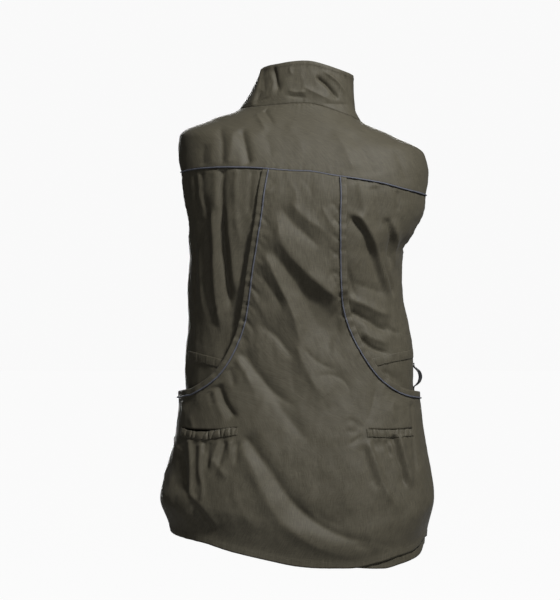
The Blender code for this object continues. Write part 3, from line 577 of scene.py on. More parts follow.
# A stitch's rings: where along it, how far out of the cloth in thread radii, and how thick.
STITCH_RINGS = ((-0.5, -0.9, 0.6), (-0.3, 0.35, 1.0), (0.3, 0.35, 1.0), (0.5, -0.9, 0.6))
THREAD_RADIUS = 0.00020
thread = woven_finish("olive thread", dyed=(0.085, 0.079, 0.058), worn=(0.11, 0.10, 0.08), wear=0.3,
                      pitch=0.0006, slub=0.10, rough=0.50, relief=0.00005, sheen=0.10)


def tube_faces(rings, sides, first=0):
    """The faces of a tube of rings of points, the first point of which has the number first."""
    return [
        tuple(first + (r + down) * sides + (c + across) % sides for down, across in FACE_CORNERS)
        for r in range(rings - 1)
        for c in range(sides)
    ]


def stitched(name, lines):
    """Rows of lockstitches: each stitch is a short thread that dips into the cloth at both ends."""
    ring_turns = np.linspace(0, 2 * math.pi, STITCH_SIDES, endpoint=False) + math.pi / 4
    points, faces = [], []
    for path, normal in lines:
        length = lengths(path)
        at = np.arange(STITCH_SPACING / 2, length[-1], STITCH_SPACING)
        middle = at_length(at, length, path)
        ahead = at_length(at + STITCH_AHEAD, length, path) - middle
        up = at_length(at, length, normal)
        keep = np.linalg.norm(ahead, axis=1) > 1e-6
        middle, ahead, up = middle[keep], unit(ahead[keep]), up[keep]
        for place, run, out, across in zip(middle, ahead, up, np.cross(ahead, up)):
            faces += tube_faces(len(STITCH_RINGS), STITCH_SIDES, len(points))
            for share, lift, wide in STITCH_RINGS:
                centre = place + run * share * STITCH_LENGTH + out * lift * THREAD_RADIUS
                for turn in ring_turns:
                    spoke = across * math.cos(turn) + out * math.sin(turn)
                    points.append(centre + spoke * THREAD_RADIUS * wide)
    mesh = bpy.data.meshes.new(name)
    mesh.from_pydata([tuple(point) for point in points], [], faces)
    mesh.shade_smooth()
    mesh.uv_layers.new(name="cloth")
    piece = in_scene(name, mesh, thread)
    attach(piece, "vest")


BACK_COLUMNS = 190
BACK_ROWS_ABOVE = 40
BACK_ROWS_BELOW = 186
ARMHOLE_COLUMNS = 80
UNDERARM_STEPS = 80
SIDE_SEAM_STEP = 3
EDGE_HEM = 0.009
HEM_RELIEF = 0.0005
HEM_FOLD = 0.003
BACK_DEEPEST = -0.012
BACK_HIGHEST = 0.013
# How far from the yoke seam the rumples begin, and from the sides the creases.
RUMPLES_FROM_SEAM = 0.03
FINE_FROM_SEAM = 0.02
SIDES_HELD = 0.020
SIDES_SLACK = 0.004

# The rear pocket's mouths and how far it hangs off the form, which the back keeps under.
MOUTH_RIGHT = (
    (-0.0594, -0.1320), (-0.0594, -0.215), (-0.0600, -0.298), (-0.063, -0.339), (-0.076, -0.390),
    (-0.106, -0.447), (-0.1265, -0.4725), (-0.153, -0.4935), (-0.180, -0.505),
)
MOUTH_LEFT = (
    (0.0612, -0.1195), (0.0735, -0.202), (0.091, -0.3145), (0.1015, -0.381), (0.111, -0.4095),
    (0.126, -0.442), (0.1455, -0.469), (0.170, -0.489), (0.196, -0.503),
)
MOUTH_END = -0.513
LIFT = by_name(("height", "lift"), (
    (-0.84, 0.016), (-0.72, 0.019), (-0.62, 0.018), (-0.52, 0.014), (-0.42, 0.010), (-0.33, 0.008),
    (-0.24, 0.0065), (-0.16, 0.003), (-0.11, 0.0),
))
UNDER_POCKET = 0.0007
MOUTH_SLOPE = 0.5
MOUTH_LAP = 0.012

yoke_line = along(mapped(YOKE_SEAM), BACK_COLUMNS + 1)
yoke_height = line_height(YOKE_SEAM)
inner_hem = line_height(INNER_HEM)
back_edge_right = edge_angles(yoke_line[0], ARMHOLE_RIGHT, SIDE_SEAM_RIGHT)
back_edge_left = edge_angles(yoke_line[-1], ARMHOLE_LEFT, SIDE_SEAM_LEFT, UNDERARM_LEFT)


def hem_relief(distance):
    """The step of a turned hem, about 9 mm in from a finished edge."""
    return HEM_RELIEF * (1 - ease((distance - EDGE_HEM) / HEM_FOLD))


# The rows above the underarms run from armhole to armhole, and those below from side seam to side seam.
back_straight = np.linspace(SIDE_SEAM_RIGHT, SIDE_SEAM_LEFT, BACK_COLUMNS + 1)
column = np.arange(BACK_COLUMNS + 1)
corner_right, corner_left = mapped(ARMHOLE_RIGHT)[-1], mapped(ARMHOLE_LEFT)[-1]
corners = np.array([corner_right, corner_left]).T
at_right = int(np.argmin(np.abs(back_straight - corner_right[0])))
at_left = int(np.argmin(np.abs(back_straight - corner_left[0])))
from_right = np.where(column < at_right, (at_right - column) / at_right,
                      (column - at_right) / ARMHOLE_COLUMNS)
from_left = np.where(column > at_left, (column - at_left) / (BACK_COLUMNS - at_left),
                     (at_left - column) / ARMHOLE_COLUMNS)


def back_angles(height):
    """Each column keeps its angle, but for those near an armhole, which follow its curve."""
    right = back_edge_right(np.maximum(height, corner_right[1])) - back_straight[at_right]
    left = back_edge_left(np.maximum(height, corner_left[1])) - back_straight[at_left]
    return back_straight + right * ease(1 - from_right) + left * ease(1 - from_left)


back_top = yoke_height(back_straight)
for _ in range(SETTLING_ROUNDS):
    back_top = yoke_height(back_angles(back_top)) - SEAM_GAP / 2
under_right = np.linspace(UNDERARM, corner_right[1], UNDERARM_STEPS)
under_left = np.linspace(corner_left[1], UNDERARM, UNDERARM_STEPS)
back_level = np.interp(back_straight, *corners)
for _ in range(SETTLING_ROUNDS):
    turned = back_angles(back_level)
    back_level = np.interp(turned, *corners)
    level_right = np.interp(turned, back_edge_right(under_right), under_right)
    level_left = np.interp(turned, back_edge_left(under_left), under_left)
    back_level = np.where(column < at_right, level_right, back_level)
    back_level = np.where(column > at_left, level_left, back_level)
above_share = np.linspace(0, 1, BACK_ROWS_ABOVE + 1)[:, None]
below_share = np.linspace(0, 1, BACK_ROWS_BELOW + 1)[1:, None]
back_height = np.concatenate([
    back_top + above_share * (back_level - back_top),
    back_level + below_share * (inner_hem(back_straight) - back_level),
])
back_angle = back_angles(back_height)
back_flat = np.stack([back_angle * GIRTH_RADIUS, back_height], axis=-1)
back_cut = np.zeros((BACK_ROWS_ABOVE + BACK_ROWS_BELOW, BACK_COLUMNS), bool)
back_cut[:BACK_ROWS_ABOVE, :at_right] = True
back_cut[:BACK_ROWS_ABOVE, at_left:] = True
armholes = (
    np.concatenate([back_flat[:BACK_ROWS_ABOVE, at_right], back_flat[BACK_ROWS_ABOVE, at_right::-1]]),
    np.concatenate([back_flat[:BACK_ROWS_ABOVE, at_left], back_flat[BACK_ROWS_ABOVE, at_left:]]),
)
side_seams = [back_flat[BACK_ROWS_ABOVE::SIDE_SEAM_STEP, edge] for edge in (0, -1)]
back_form = skin(back_angle, back_height, 0.0)
back_from_top = run_length(back_form, 0)
back_from_armhole = nearest_edge(back_flat, armholes)
back_sides = np.minimum(back_from_armhole, nearest_edge(back_flat, side_seams))
back_out = creased(BACK_CREASES, back_flat, traced)
back_out += crumpled(back_form, size=0.055, depth=0.0018, seed=3.0) * ease(back_from_top / RUMPLES_FROM_SEAM)
back_out += crumpled(back_form, size=0.020, depth=0.0009, seed=4.0) * ease(back_from_top / FINE_FROM_SEAM)
back_out += puckered(back_flat[..., 0], back_from_top, depth=0.0014, seed=5.0)
back_out *= ease((back_sides + SIDES_SLACK) / SIDES_HELD)
back_out += hem_relief(back_from_armhole)
back_out += puckered(back_from_top + back_flat[..., 0], back_sides, depth=0.0009, seed=9.0)
mouth_right, mouth_left = mapped(MOUTH_RIGHT)[::-1], mapped(MOUTH_LEFT)[::-1]
past_right = smooth(mouth_right[:, 1], mouth_right[:, 0], back_height) - back_angle
past_left = back_angle - smooth(mouth_left[:, 1], mouth_left[:, 0], back_height)
past_mouth = np.where(back_height > MOUTH_END, np.maximum(past_right, past_left), -1.0) * GIRTH_RADIUS
highest = UNDER_POCKET + smooth(LIFT["height"], LIFT["lift"], back_height) * ease(1 + past_mouth / MOUTH_LAP)
highest += MOUTH_SLOPE * np.maximum(past_mouth, 0)
back_out = np.clip(back_out, BACK_DEEPEST, np.minimum(highest, BACK_HIGHEST))
back_out += hem_swing(back_angle, back_height)
back_grid = skin(back_angle, back_height, back_out)
back_body = sewn("back_panel", back_grid, olive, left_out=back_cut)
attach(back_body, "vest")
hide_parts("back_body")

# Back yoke: one panel of the same cloth over the shoulders, from the nape and shoulder seams down to the
# yoke seam. Its slate piping is a folded bias strip, sewn into the yoke seam so that only its roll shows.

YOKE_CREASES = (
    (-0.007, 0.008, 0.0055, 0.25, 0.1, (242, 124), (245, 144), (250, 165)),
    (0.0028, 0.009, 0.008, 0.3, 0.1, (234, 126), (231, 146), (228, 164)),
    (-0.0045, 0.005, 0.0045, 0.3, 0.1, (221, 122), (222, 142), (222, 164)),
    (0.0018, 0.006, 0.006, 0.3, 0.1, (212, 136), (212, 164)),
    (-0.0022, 0.005, 0.005, 0.3, 0.1, (203, 140), (202, 164)),
    (-0.003, 0.003, 0.004, 0.1, 0.4, (264, 106), (269, 114), (276, 124)),
    (0.0024, 0.004, 0.005, 0.1, 0.4, (256, 110), (261, 120), (268, 132)),
    (-0.0024, 0.014, 0.011, 0.3, 0.1, (347, 126), (362, 146), (376, 176)),
    (0.0026, 0.014, 0.014, 0.3, 0.2, (332, 126), (345, 146), (354, 172)),
    (0.0016, 0.018, 0.018, 0.3, 0.3, (285, 120), (300, 142), (305, 160)),
    (-0.0018, 0.012, 0.012, 0.3, 0.3, (262, 128), (270, 146), (272, 160)),
    (-0.002, 0.007, 0.008, 0.3, 0.2, (395, 146), (404, 166), (410, 184)),
    (-0.002, 0.004, 0.004, 0.2, 0.4, (350, 108), (362, 116), (378, 122)),
)

SHOULDER_SEAM = math.radians(97)
SHOULDER_TIP = -0.090
YOKE_ROWS = 64
YOKE_EDGE_ROWS = 22
NAPE_PUCKERS = 0.8
SEAM_STITCHES = 0.0030
EDGE_STITCHES = 0.0065
INNER_HEM_STITCHES = 0.0150

edge_share = np.linspace(0, 1, YOKE_EDGE_ROWS + 1)[1:]
edge_steps = np.stack([edge_share, np.sin(edge_share * math.pi / 2)], axis=-1)
yoke_left = yoke_line[-1] + edge_steps * (np.array([SHOULDER_SEAM, SHOULDER_TIP]) - yoke_line[-1])
yoke_right = yoke_line[0] + edge_steps * (np.array([-SHOULDER_SEAM, SHOULDER_TIP]) - yoke_line[0])
yoke_lower = np.concatenate([yoke_right[::-1], yoke_line, yoke_left])
yoke_share = np.linspace(0, 1, YOKE_ROWS + 1)[:, None]
yoke_angle = np.broadcast_to(yoke_lower[:, 0], (YOKE_ROWS + 1, len(yoke_lower)))
yoke_neck, yoke_foot = -SEAM_GAP / 2, yoke_lower[:, 1] + SEAM_GAP / 2
yoke_level = yoke_neck + yoke_share * (yoke_foot - yoke_neck)
yoke_flat = np.stack([yoke_angle * GIRTH_RADIUS, yoke_level], axis=-1)
yoke_form = skin(yoke_angle, yoke_level, 0.0)
yoke_from_top = run_length(yoke_form, 0)
yoke_from_foot = run_back(yoke_form, 0)
yoke_out = creased(YOKE_CREASES, yoke_flat, traced)
yoke_out += crumpled(yoke_form, size=0.06, depth=0.0006, seed=1.0) * ease(yoke_from_top / RUMPLES_FROM_SEAM)
yoke_out += puckered(yoke_flat[..., 0], yoke_from_foot, depth=0.0010, seed=2.0)
yoke_out += puckered(yoke_flat[..., 0] * NAPE_PUCKERS, yoke_from_top, depth=0.0006, seed=4.0)
yoke_grid = skin(yoke_angle, yoke_level, yoke_out)
yoke = sewn("yoke_panel", yoke_grid, olive)
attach(yoke, "vest")
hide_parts("back_yoke")

PIPING_RADIUS = 0.0013
PIPING_SIDES = 10
PIPING_STEPS = 420
PIPING_WOBBLE = 0.07
WOBBLE_LENGTH = 0.006
SEATING = 0.0003
slate = woven_finish("slate piping", dyed=(0.088, 0.094, 0.118), worn=(0.12, 0.125, 0.15), wear=0.4,
                     pitch=0.0009, slub=0.08, rough=0.55, relief=0.00010, sheen=0.08)


def roll(name, path, normal):
    """A tube of bias cloth round a cord, slightly uneven where the needle has caught it."""
    run = unit(np.gradient(path, axis=0))
    across = unit(np.cross(run, normal))
    up = np.cross(across, run)
    length = lengths(path)
    wobble = np.array([noise.noise(Vector((at / WOBBLE_LENGTH, 0.5, 2.0))) for at in length])
    thick = PIPING_RADIUS * (1 + PIPING_WOBBLE * wobble)
    turn = np.linspace(0, 2 * math.pi, PIPING_SIDES, endpoint=False)
    spokes = across[:, None] * np.cos(turn)[:, None] + up[:, None] * np.sin(turn)[:, None]
    grid = path[:, None] + spokes * thick[:, None, None]
    faces = tube_faces(len(path), PIPING_SIDES)
    faces.append(tuple(reversed(range(PIPING_SIDES))))
    faces.append(tuple((len(path) - 1) * PIPING_SIDES + c for c in range(PIPING_SIDES)))
    mesh = bpy.data.meshes.new(name)
    mesh.from_pydata(grid.reshape(-1, 3).tolist(), [], faces)
    mesh.shade_smooth()
    round_it = np.tile(np.arange(PIPING_SIDES) * (2 * math.pi * PIPING_RADIUS / PIPING_SIDES), len(path))
    thread_lines(mesh, np.stack([round_it, np.repeat(length, PIPING_SIDES)], axis=-1))
    return in_scene(name, mesh, slate)


fine_line = along(mapped(YOKE_SEAM), PIPING_STEPS)
fine_flat = fine_line * (GIRTH_RADIUS, 1)
fine_out = np.maximum(creased(YOKE_CREASES, fine_flat, traced), creased(BACK_CREASES, fine_flat, traced))
fine_skin = skin(*fine_line.T, fine_out + PIPING_RADIUS + SEATING)
yoke_piping = roll("yoke_seam_piping", fine_skin, outward(*fine_line.T))
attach(yoke_piping, "vest")
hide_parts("yoke_piping")
stitched("yoke_stitches", [
    inset(yoke_grid, "bottom", SEAM_STITCHES),
    inset(yoke_grid, "left", EDGE_STITCHES),
    inset(yoke_grid, "right", EDGE_STITCHES),
])
above_arms, below_arms = back_grid[:BACK_ROWS_ABOVE + 1, at_right:at_left + 1], back_grid[BACK_ROWS_ABOVE:]
stitched("back_stitches", [
    inset(back_grid, "bottom", INNER_HEM_STITCHES),
    inset(above_arms, "right", EDGE_STITCHES),
    inset(above_arms, "left", EDGE_STITCHES),
    inset(below_arms[:, :at_right - 1], "top", EDGE_STITCHES),
    inset(below_arms[:, at_left + 2:], "top", EDGE_STITCHES),
])

# Rear game pocket: an outer panel over the inner back, from the yoke seam to its own turned hem. It is sewn
# down at the sides and hem only, so it hangs in long slanting folds, and has a slit hip pocket on each side
# that its elastic gathers.

# Short drag lines that run in from the pipings of the mouths: how far out or in, how wide, and where.
MOUTH_DRAGS = (
    (-0.0024, 0.0026, (267, 189), (279, 175)),
    (-0.0024, 0.0026, (266, 202), (277, 190)),
    (-0.0026, 0.0026, (263, 218), (272, 228)),
    (-0.0024, 0.0026, (261, 236), (270, 243)),
    (-0.0024, 0.0026, (257, 256), (267, 264)),
    (-0.0022, 0.0026, (254, 272), (265, 283)),
    (-0.0024, 0.0026, (251, 287), (262, 299)),
    (-0.0022, 0.0026, (248, 303), (258, 313)),
    (-0.0024, 0.0026, (245, 320), (255, 333)),
    (-0.0022, 0.0026, (241, 336), (252, 347)),
    (-0.0024, 0.0028, (339, 211), (330, 200)),
    (-0.0024, 0.0028, (339, 224), (329, 213)),
    (-0.0024, 0.0028, (339, 240), (328, 231)),
    (-0.0024, 0.0028, (339, 256), (326, 246)),
    (-0.0022, 0.0028, (340, 276), (328, 268)),
    (-0.002, 0.0028, (343, 297), (332, 292)),
    (-0.002, 0.0028, (348, 318), (337, 314)),
)
DRAG_START, DRAG_FADE = 0.1, 0.6
POCKET_CREASES = (
    # over the waist: crest, trough and crest
    (0.0088, 0.018, 0.026, 0.3, 0.14, (276, 208), (278, 224), (281, 241), (293, 258), (303, 268),
     (318, 281), (344, 302)),
    (-0.0098, 0.02, 0.018, 0.1, 0.14, (267, 246), (275, 256), (285, 268), (295, 281), (305, 295),
     (315, 310), (327, 323), (346, 334)),
    (-0.008, 0.03, 0.04, 0.4, 0.2, (300, 288), (312, 305), (325, 321), (342, 331)),
    (0.0045, 0.038, 0.02, 0.4, 0.1, (300, 266), (318, 281), (344, 302)),
    (0.0095, 0.016, 0.02, 0.12, 0.35, (263, 249), (271, 267), (280, 285), (288, 302), (294, 318),
     (299, 336), (307, 352)),
    (-0.0065, 0.011, 0.01, 0.2, 0.3, (279, 203), (286, 214), (294, 224), (303, 232), (313, 241),
     (323, 251)),
    (0.005, 0.01, 0.014, 0.3, 0.3, (286, 197), (296, 209), (306, 219), (318, 227), (331, 237)),
    (0.0024, 0.007, 0.008, 0.3, 0.2, (320, 205), (328, 219), (337, 232)),
    (0.0024, 0.006, 0.007, 0.2, 0.3, (249, 286), (258, 304), (268, 322)),
    (-0.0042, 0.007, 0.009, 0.2, 0.3, (256, 322), (266, 329), (277, 338), (289, 352), (297, 360)),
    (-0.004, 0.009, 0.011, 0.2, 0.3, (257, 264), (266, 282), (278, 300), (286, 314)),
    (-0.0026, 0.006, 0.007, 0.2, 0.2, (328, 268), (336, 285), (341, 305)),
    (-0.0022, 0.006, 0.008, 0.3, 0.3, (300, 176), (310, 190), (313, 202)),
    (0.0018, 0.007, 0.007, 0.3, 0.3, (288, 180), (296, 194), (297, 206)),
    (-0.0025, 0.006, 0.006, 0.3, 0.3, (261, 226), (277, 235)),
    (0.0022, 0.003, 0.0026, 0.1, 0.6, (266, 195), (276, 184)),
    *((rise, wide, wide, DRAG_START, DRAG_FADE, *places) for rise, wide, *places in MOUTH_DRAGS),
    # over the seat
    (0.006, 0.018, 0.03, 0.3, 0.3, (290, 330), (300, 357), (314, 384), (334, 410)),
    (-0.0045, 0.013, 0.014, 0.3, 0.3, (253, 362), (270, 392), (290, 420), (316, 450)),
    (-0.0026, 0.005, 0.008, 0.4, 0.4, (312, 378), (329, 375), (346, 384), (353, 404)),
    (-0.002, 0.005, 0.005, 0.3, 0.3, (300, 345), (318, 362), (340, 372)),
    (-0.0022, 0.004, 0.004, 0.1, 0.3, (209, 392), (213, 408)),
    (-0.0065, 0.01, 0.004, 0.1, 0.2, (218, 384), (224, 399), (232, 413), (238, 420)),
    (-0.0036, 0.004, 0.004, 0.1, 0.4, (229, 368), (235, 390)),
    (-0.0065, 0.007, 0.013, 0.1, 0.35, (236, 350), (247, 360), (256, 373), (268, 387), (282, 399),
     (300, 407)),
    (0.0036, 0.005, 0.005, 0.1, 0.4, (235, 357), (248, 378), (256, 396)),
    (0.0026, 0.005, 0.005, 0.1, 0.4, (212, 388), (219, 408), (228, 426)),
    (0.0018, 0.003, 0.003, 0.1, 0.4, (182, 403), (185, 420)),
    (0.0018, 0.003, 0.003, 0.3, 0.3, (189, 416), (195, 433)),
    # along the hem
    (0.007, 0.014, 0.022, 0.12, 0.1, (239, 437), (249, 462), (262, 490), (279, 517), (300, 535),
     (325, 549), (352, 557), (388, 560)),
    (-0.009, 0.016, 0.011, 0.06, 0.15, (243, 433), (256, 451), (268, 467), (279, 483), (291, 500),
     (306, 514), (326, 528), (350, 538), (378, 543)),
    (-0.003, 0.01, 0.018, 0.3, 0.3, (306, 505), (325, 518), (352, 530)),
    (-0.003, 0.004, 0.005, 0.3, 0.3, (353, 543), (369, 549)),
    (-0.003, 0.004, 0.005, 0.3, 0.3, (373, 541), (395, 552)),
    (0.003, 0.003, 0.004, 0.3, 0.3, (364, 528), (370, 543), (374, 556)),
    # below the right slit
    (0.007, 0.007, 0.003, 0.08, 0.3, (367, 440), (376, 464), (385, 488), (399, 512)),
    (-0.005, 0.005, 0.004, 0.1, 0.3, (362, 444), (369, 468), (378, 493)),
    (-0.009, 0.005, 0.003, 0.04, 0.25, (394, 436), (399, 455), (403, 472), (408, 492)),
    (0.007, 0.003, 0.007, 0.04, 0.25, (398, 436), (403, 455), (407, 471), (412, 491)),
    (0.0034, 0.004, 0.003, 0.05, 0.35, (391, 443), (397, 460), (404, 486)),
    (-0.0046, 0.003, 0.003, 0.05, 0.4, (386, 441), (391, 459)),
    (-0.0038, 0.0028, 0.0026, 0.05, 0.5, (379, 441), (382, 452)),
    (-0.003, 0.0026, 0.0026, 0.05, 0.5, (373, 441), (376, 452)),
    (-0.0028, 0.0034, 0.0034, 0.4, 0.05, (348, 417), (361, 428)),
    (-0.0028, 0.0034, 0.0034, 0.4, 0.05, (347, 447), (361, 436)),
    (-0.0024, 0.004, 0.004, 0.4, 0.05, (344, 431), (359, 432)),
    (-0.002, 0.005, 0.005, 0.3, 0.2, (377, 383), (373, 404), (367, 426)),
    # below the left slit
    (0.0045, 0.0045, 0.0024, 0.06, 0.12, (190, 440), (191, 466), (191, 493), (200, 504)),
    (0.004, 0.005, 0.0022, 0.05, 0.1, (202, 444), (201, 470), (203, 494), (200, 504)),
    (-0.0016, 0.0035, 0.0035, 0.05, 0.15, (196, 443), (196, 470), (197, 491)),
    (0.0055, 0.005, 0.009, 0.12, 0.3, (198, 501), (208, 514), (221, 532)),
    (-0.006, 0.007, 0.006, 0.3, 0.25, (191, 500), (201, 516), (217, 533)),
    (0.0035, 0.012, 0.012, 0.3, 0.3, (170, 498), (180, 516), (197, 533)),
    (0.003, 0.0035, 0.0035, 0.1, 0.25, (174, 440), (184, 458), (190, 472)),
    (-0.0045, 0.0028, 0.0034, 0.05, 0.3, (225, 441), (221, 458), (217, 474)),
    (0.0034, 0.003, 0.003, 0.06, 0.3, (219, 441), (214, 456), (210, 474)),
    (-0.003, 0.0026, 0.003, 0.05, 0.3, (209, 443), (208, 458), (207, 474)),
    (0.0022, 0.0024, 0.0024, 0.05, 0.4, (230, 441), (227, 452)),
    (0.0028, 0.004, 0.005, 0.25, 0.35, (211, 458), (219, 468), (229, 480)),
    (-0.0038, 0.0035, 0.0035, 0.05, 0.4, (237, 442), (236, 468)),
    (0.0034, 0.003, 0.003, 0.05, 0.4, (231, 441), (229, 460)),
    (-0.0032, 0.0026, 0.0026, 0.05, 0.4, (205, 442), (204, 456)),
    # broad, soft swells, and the side seams
    (0.0035, 0.018, 0.016, 0.3, 0.3, (352, 448), (345, 490), (352, 520)),
    (-0.003, 0.022, 0.02, 0.3, 0.3, (318, 430), (318, 465), (330, 495)),
    (0.003, 0.014, 0.014, 0.3, 0.3, (232, 470), (240, 505), (262, 535)),
    (-0.003, 0.0034, 0.0036, 0.1, 0.2, (412, 402), (414, 430), (417, 480)),
    (0.0024, 0.006, 0.008, 0.3, 0.3, (396, 398), (392, 412), (399, 424)),
    (0.003, 0.014, 0.012, 0.3, 0.3, (167, 468), (163, 492), (170, 515)),
    (-0.007, 0.024, 0.005, 0.25, 0.25, (183, 446), (184, 472), (187, 498)),
)

OUTER_HEM = (
    (-0.2035, -0.749), (-0.178, -0.767), (-0.1525, -0.773), (-0.119, -0.783), (-0.075, -0.791),
    (-0.027, -0.7905), (0.008, -0.788), (0.071, -0.7755), (0.121, -0.764), (0.172, -0.750), (0.228, -0.741),
)
POCKET_CLEARANCE = 0.0022
HEM_CLOSING = 0.070
MOUTH_CLOSING = 0.060
SIDE_HOLD = 8
SOFTNESS = 0.002
FOLDS_AT_HEM = 0.15
DRAG_SLOPE = 0.9
SEAM_DIP = -0.0005
SIDE_DIP = -0.0009
HEM_STITCHES = 0.0095
POCKET_COLUMNS = 214
POCKET_MOUTH_ROWS = 138
POCKET_SIDE_ROWS = 76
# Where across the pocket its columns lie closer, for the gathers below the casings: middle, half width, how
# much.
POCKET_GATHERS = ((0.14, 0.12, 1.2), (0.82, 0.13, 1.2))
GATHER_EDGES = 4
ACROSS_STEPS = 2001
SLIT_LEFT = ((0.1090, -0.5555), (0.150, -0.5600), (0.1975, -0.5600))
SLIT_RIGHT = ((-0.1740, -0.5590), (-0.137, -0.5600), (-0.1000, -0.5580))
SLIT_STEPS = 60
SLIT_ROWS = 2
SLIT_LOWER = 0.0033
SLIT_LIP = -0.0012
SLIT_GAPE_LEFT = 0.0018
SLIT_GAPE_RIGHT = 0.0004
SLIT_SAG_LEFT = 0.0032
SLIT_SAG_RIGHT = 0.0
# How many rows and columns round a slit follow its lips.
LIP_ROWS = 16
LIP_COLUMNS = 8
# The upper lip gapes and the lower one sags near the outer end, at these shares of the slit's length.
GAPE_STARTS, GAPE_OPENS = 0.72, 0.2
GAPE_ENDS, GAPE_CLOSES = 1.02, 0.06
SAG_MIDDLE, SAG_SPREAD = 0.70, 0.24

outer_hem = line_height(OUTER_HEM)


def pocket_lift(angle, height):
    """How far the pocket hangs off the form, without its folds: sewn down at the sides and the hem."""
    side = np.where(angle > 0, SIDE_SEAM_LEFT, SIDE_SEAM_RIGHT)
    open_mouth = ease((height - MOUTH_END) / MOUTH_CLOSING)
    held = open_mouth + (1 - open_mouth) * (1 - np.abs(angle / side) ** SIDE_HOLD)
    off_hem = ease((height - outer_hem(angle)) / HEM_CLOSING)
    return smooth(LIFT["height"], LIFT["lift"], height) * held * off_hem


def traced_on_pocket(places):
    return traced(places, pocket_lift)


def pocket_top(angle):
    return yoke_height(angle) - PIPING_RADIUS - SEAM_GAP


def pocket_edge(points, side_angle):
    """The pocket's edge, down its open mouth and then down the side seam to the hem."""
    mouth = np.concatenate([mapped(points, pocket_lift), [(side_angle, MOUTH_END)]])
    mouth[0, 1] = pocket_top(mouth[0, 0])
    down = np.linspace(MOUTH_END, float(outer_hem(side_angle)), POCKET_SIDE_ROWS + 1)[1:]
    side = np.stack([np.full(len(down), side_angle), down], axis=-1)
    return np.concatenate([along(mouth, POCKET_MOUTH_ROWS + 1), side])


def down_share(edge):
    """How far down the pocket each point of its edge lies."""
    top, hem = pocket_top(edge[:, 0]), outer_hem(edge[:, 0])
    return (top - edge[:, 1]) / (top - hem)


pocket_right = pocket_edge(MOUTH_RIGHT, SIDE_SEAM_RIGHT)
pocket_left = pocket_edge(MOUTH_LEFT, SIDE_SEAM_LEFT)
across = np.linspace(0, 1, ACROSS_STEPS)
closeness = 1 + sum(
    more * np.exp(-(((across - middle) / half) ** GATHER_EDGES)) for middle, half, more in POCKET_GATHERS
)
counted = np.cumsum(closeness) - closeness[0]
pocket_across = np.interp(np.linspace(0, counted[-1], POCKET_COLUMNS + 1), counted, across)
pocket_down = np.linspace(0, 1, len(pocket_left))[:, None]
pocket_angle = pocket_right[:, :1] * (1 - pocket_across) + pocket_left[:, :1] * pocket_across
right_share, left_share = down_share(pocket_right), down_share(pocket_left)
edge_shares = right_share[:, None] * (1 - pocket_across) + left_share[:, None] * pocket_across
near_edge = ease(np.abs(2 * pocket_across - 1))
pocket_shares = near_edge * edge_shares + (1 - near_edge) * pocket_down
pocket_height = pocket_top(pocket_angle) * (1 - pocket_shares) + outer_hem(pocket_angle) * pocket_shares


def slit_open(angle, height, slit, gape, sag):
    """Draws rows of the panel onto a slit's lips; returns the new heights and the faces left out."""
    line = along(mapped(slit), SLIT_STEPS)
    level = angle[len(angle) * 3 // 4]
    columns = np.where((level > line[:, 0].min()) & (level < line[:, 0].max()))[0]
    first, last = columns[0], columns[-1]
    middle = smooth(line[:, 0], line[:, 1], np.clip(level, line[0, 0], line[-1, 0]))
    centre = columns[len(columns) // 2]
    row = int(np.argmin(np.abs(height[:, centre] - middle[centre] - SLIT_LOWER)))
    number = np.arange(len(middle))
    inside = ease(1 + np.minimum(number - first, last - number) / LIP_COLUMNS)
    turned = np.abs(angle[row])
    share = (turned - turned[columns].min()) / np.ptp(turned[columns])
    gaping = gape * ease((share - GAPE_STARTS) / GAPE_OPENS) * ease((GAPE_ENDS - share) / GAPE_CLOSES)
    upper = SLIT_LIP + gaping
    lower = -SLIT_LOWER - sag * np.exp(-(((share - SAG_MIDDLE) / SAG_SPREAD) ** 2))
    lips = middle + np.stack([upper, lower])
    shift = lips - height[[row, row + SLIT_ROWS]]
    below = np.arange(len(height))[:, None] - row
    above_slit = ease(1 + below / LIP_ROWS)
    below_slit = ease(1 - (below - SLIT_ROWS) / LIP_ROWS)
    between = np.clip(below / SLIT_ROWS, 0, 1)
    moved = shift[0] * (1 - between) * above_slit + shift[1] * between * below_slit
    left_out = np.zeros((len(height) - 1, len(middle) - 1), bool)
    left_out[row:row + SLIT_ROWS, first:last] = True
    return height + moved * inside, left_out


pocket_height, cut_left = slit_open(pocket_angle, pocket_height, SLIT_LEFT, SLIT_GAPE_LEFT, SLIT_SAG_LEFT)
pocket_height, cut_right = slit_open(pocket_angle, pocket_height, SLIT_RIGHT, SLIT_GAPE_RIGHT, SLIT_SAG_RIGHT)
pocket_flat = np.stack([pocket_angle * GIRTH_RADIUS, pocket_height], axis=-1)
pocket_form = skin(pocket_angle, pocket_height, 0.0)
pocket_sides = np.minimum(run_length(pocket_form, 1), run_back(pocket_form, 1))
pocket_from_top = run_length(pocket_form, 0)
pocket_from_hem = run_back(pocket_form, 0)
hanging = pocket_lift(pocket_angle, pocket_height)
folds = creased(POCKET_CREASES, pocket_flat, traced_on_pocket)
folds += (crumpled(pocket_form, size=0.060, depth=0.0022, seed=7.0)
          + crumpled(pocket_form, size=0.022, depth=0.0011, seed=8.0))
free_of_hem = ease((pocket_height - outer_hem(pocket_angle)) / HEM_CLOSING)
folds *= free_of_hem * (1 - FOLDS_AT_HEM) + FOLDS_AT_HEM
free = SOFTNESS * np.logaddexp(0, (hanging + folds) / SOFTNESS)
pocket_out = POCKET_CLEARANCE + free * (1 - np.exp(-hanging / SOFTNESS))
pocket_out += np.maximum(SEAM_DIP, puckered(pocket_flat[..., 0], pocket_from_hem, depth=0.0013, seed=11.0))
pocket_out += np.maximum(SEAM_DIP, puckered(pocket_flat[..., 0], pocket_from_top, depth=0.0007, seed=12.0))
drag = pocket_from_top - DRAG_SLOPE * pocket_sides
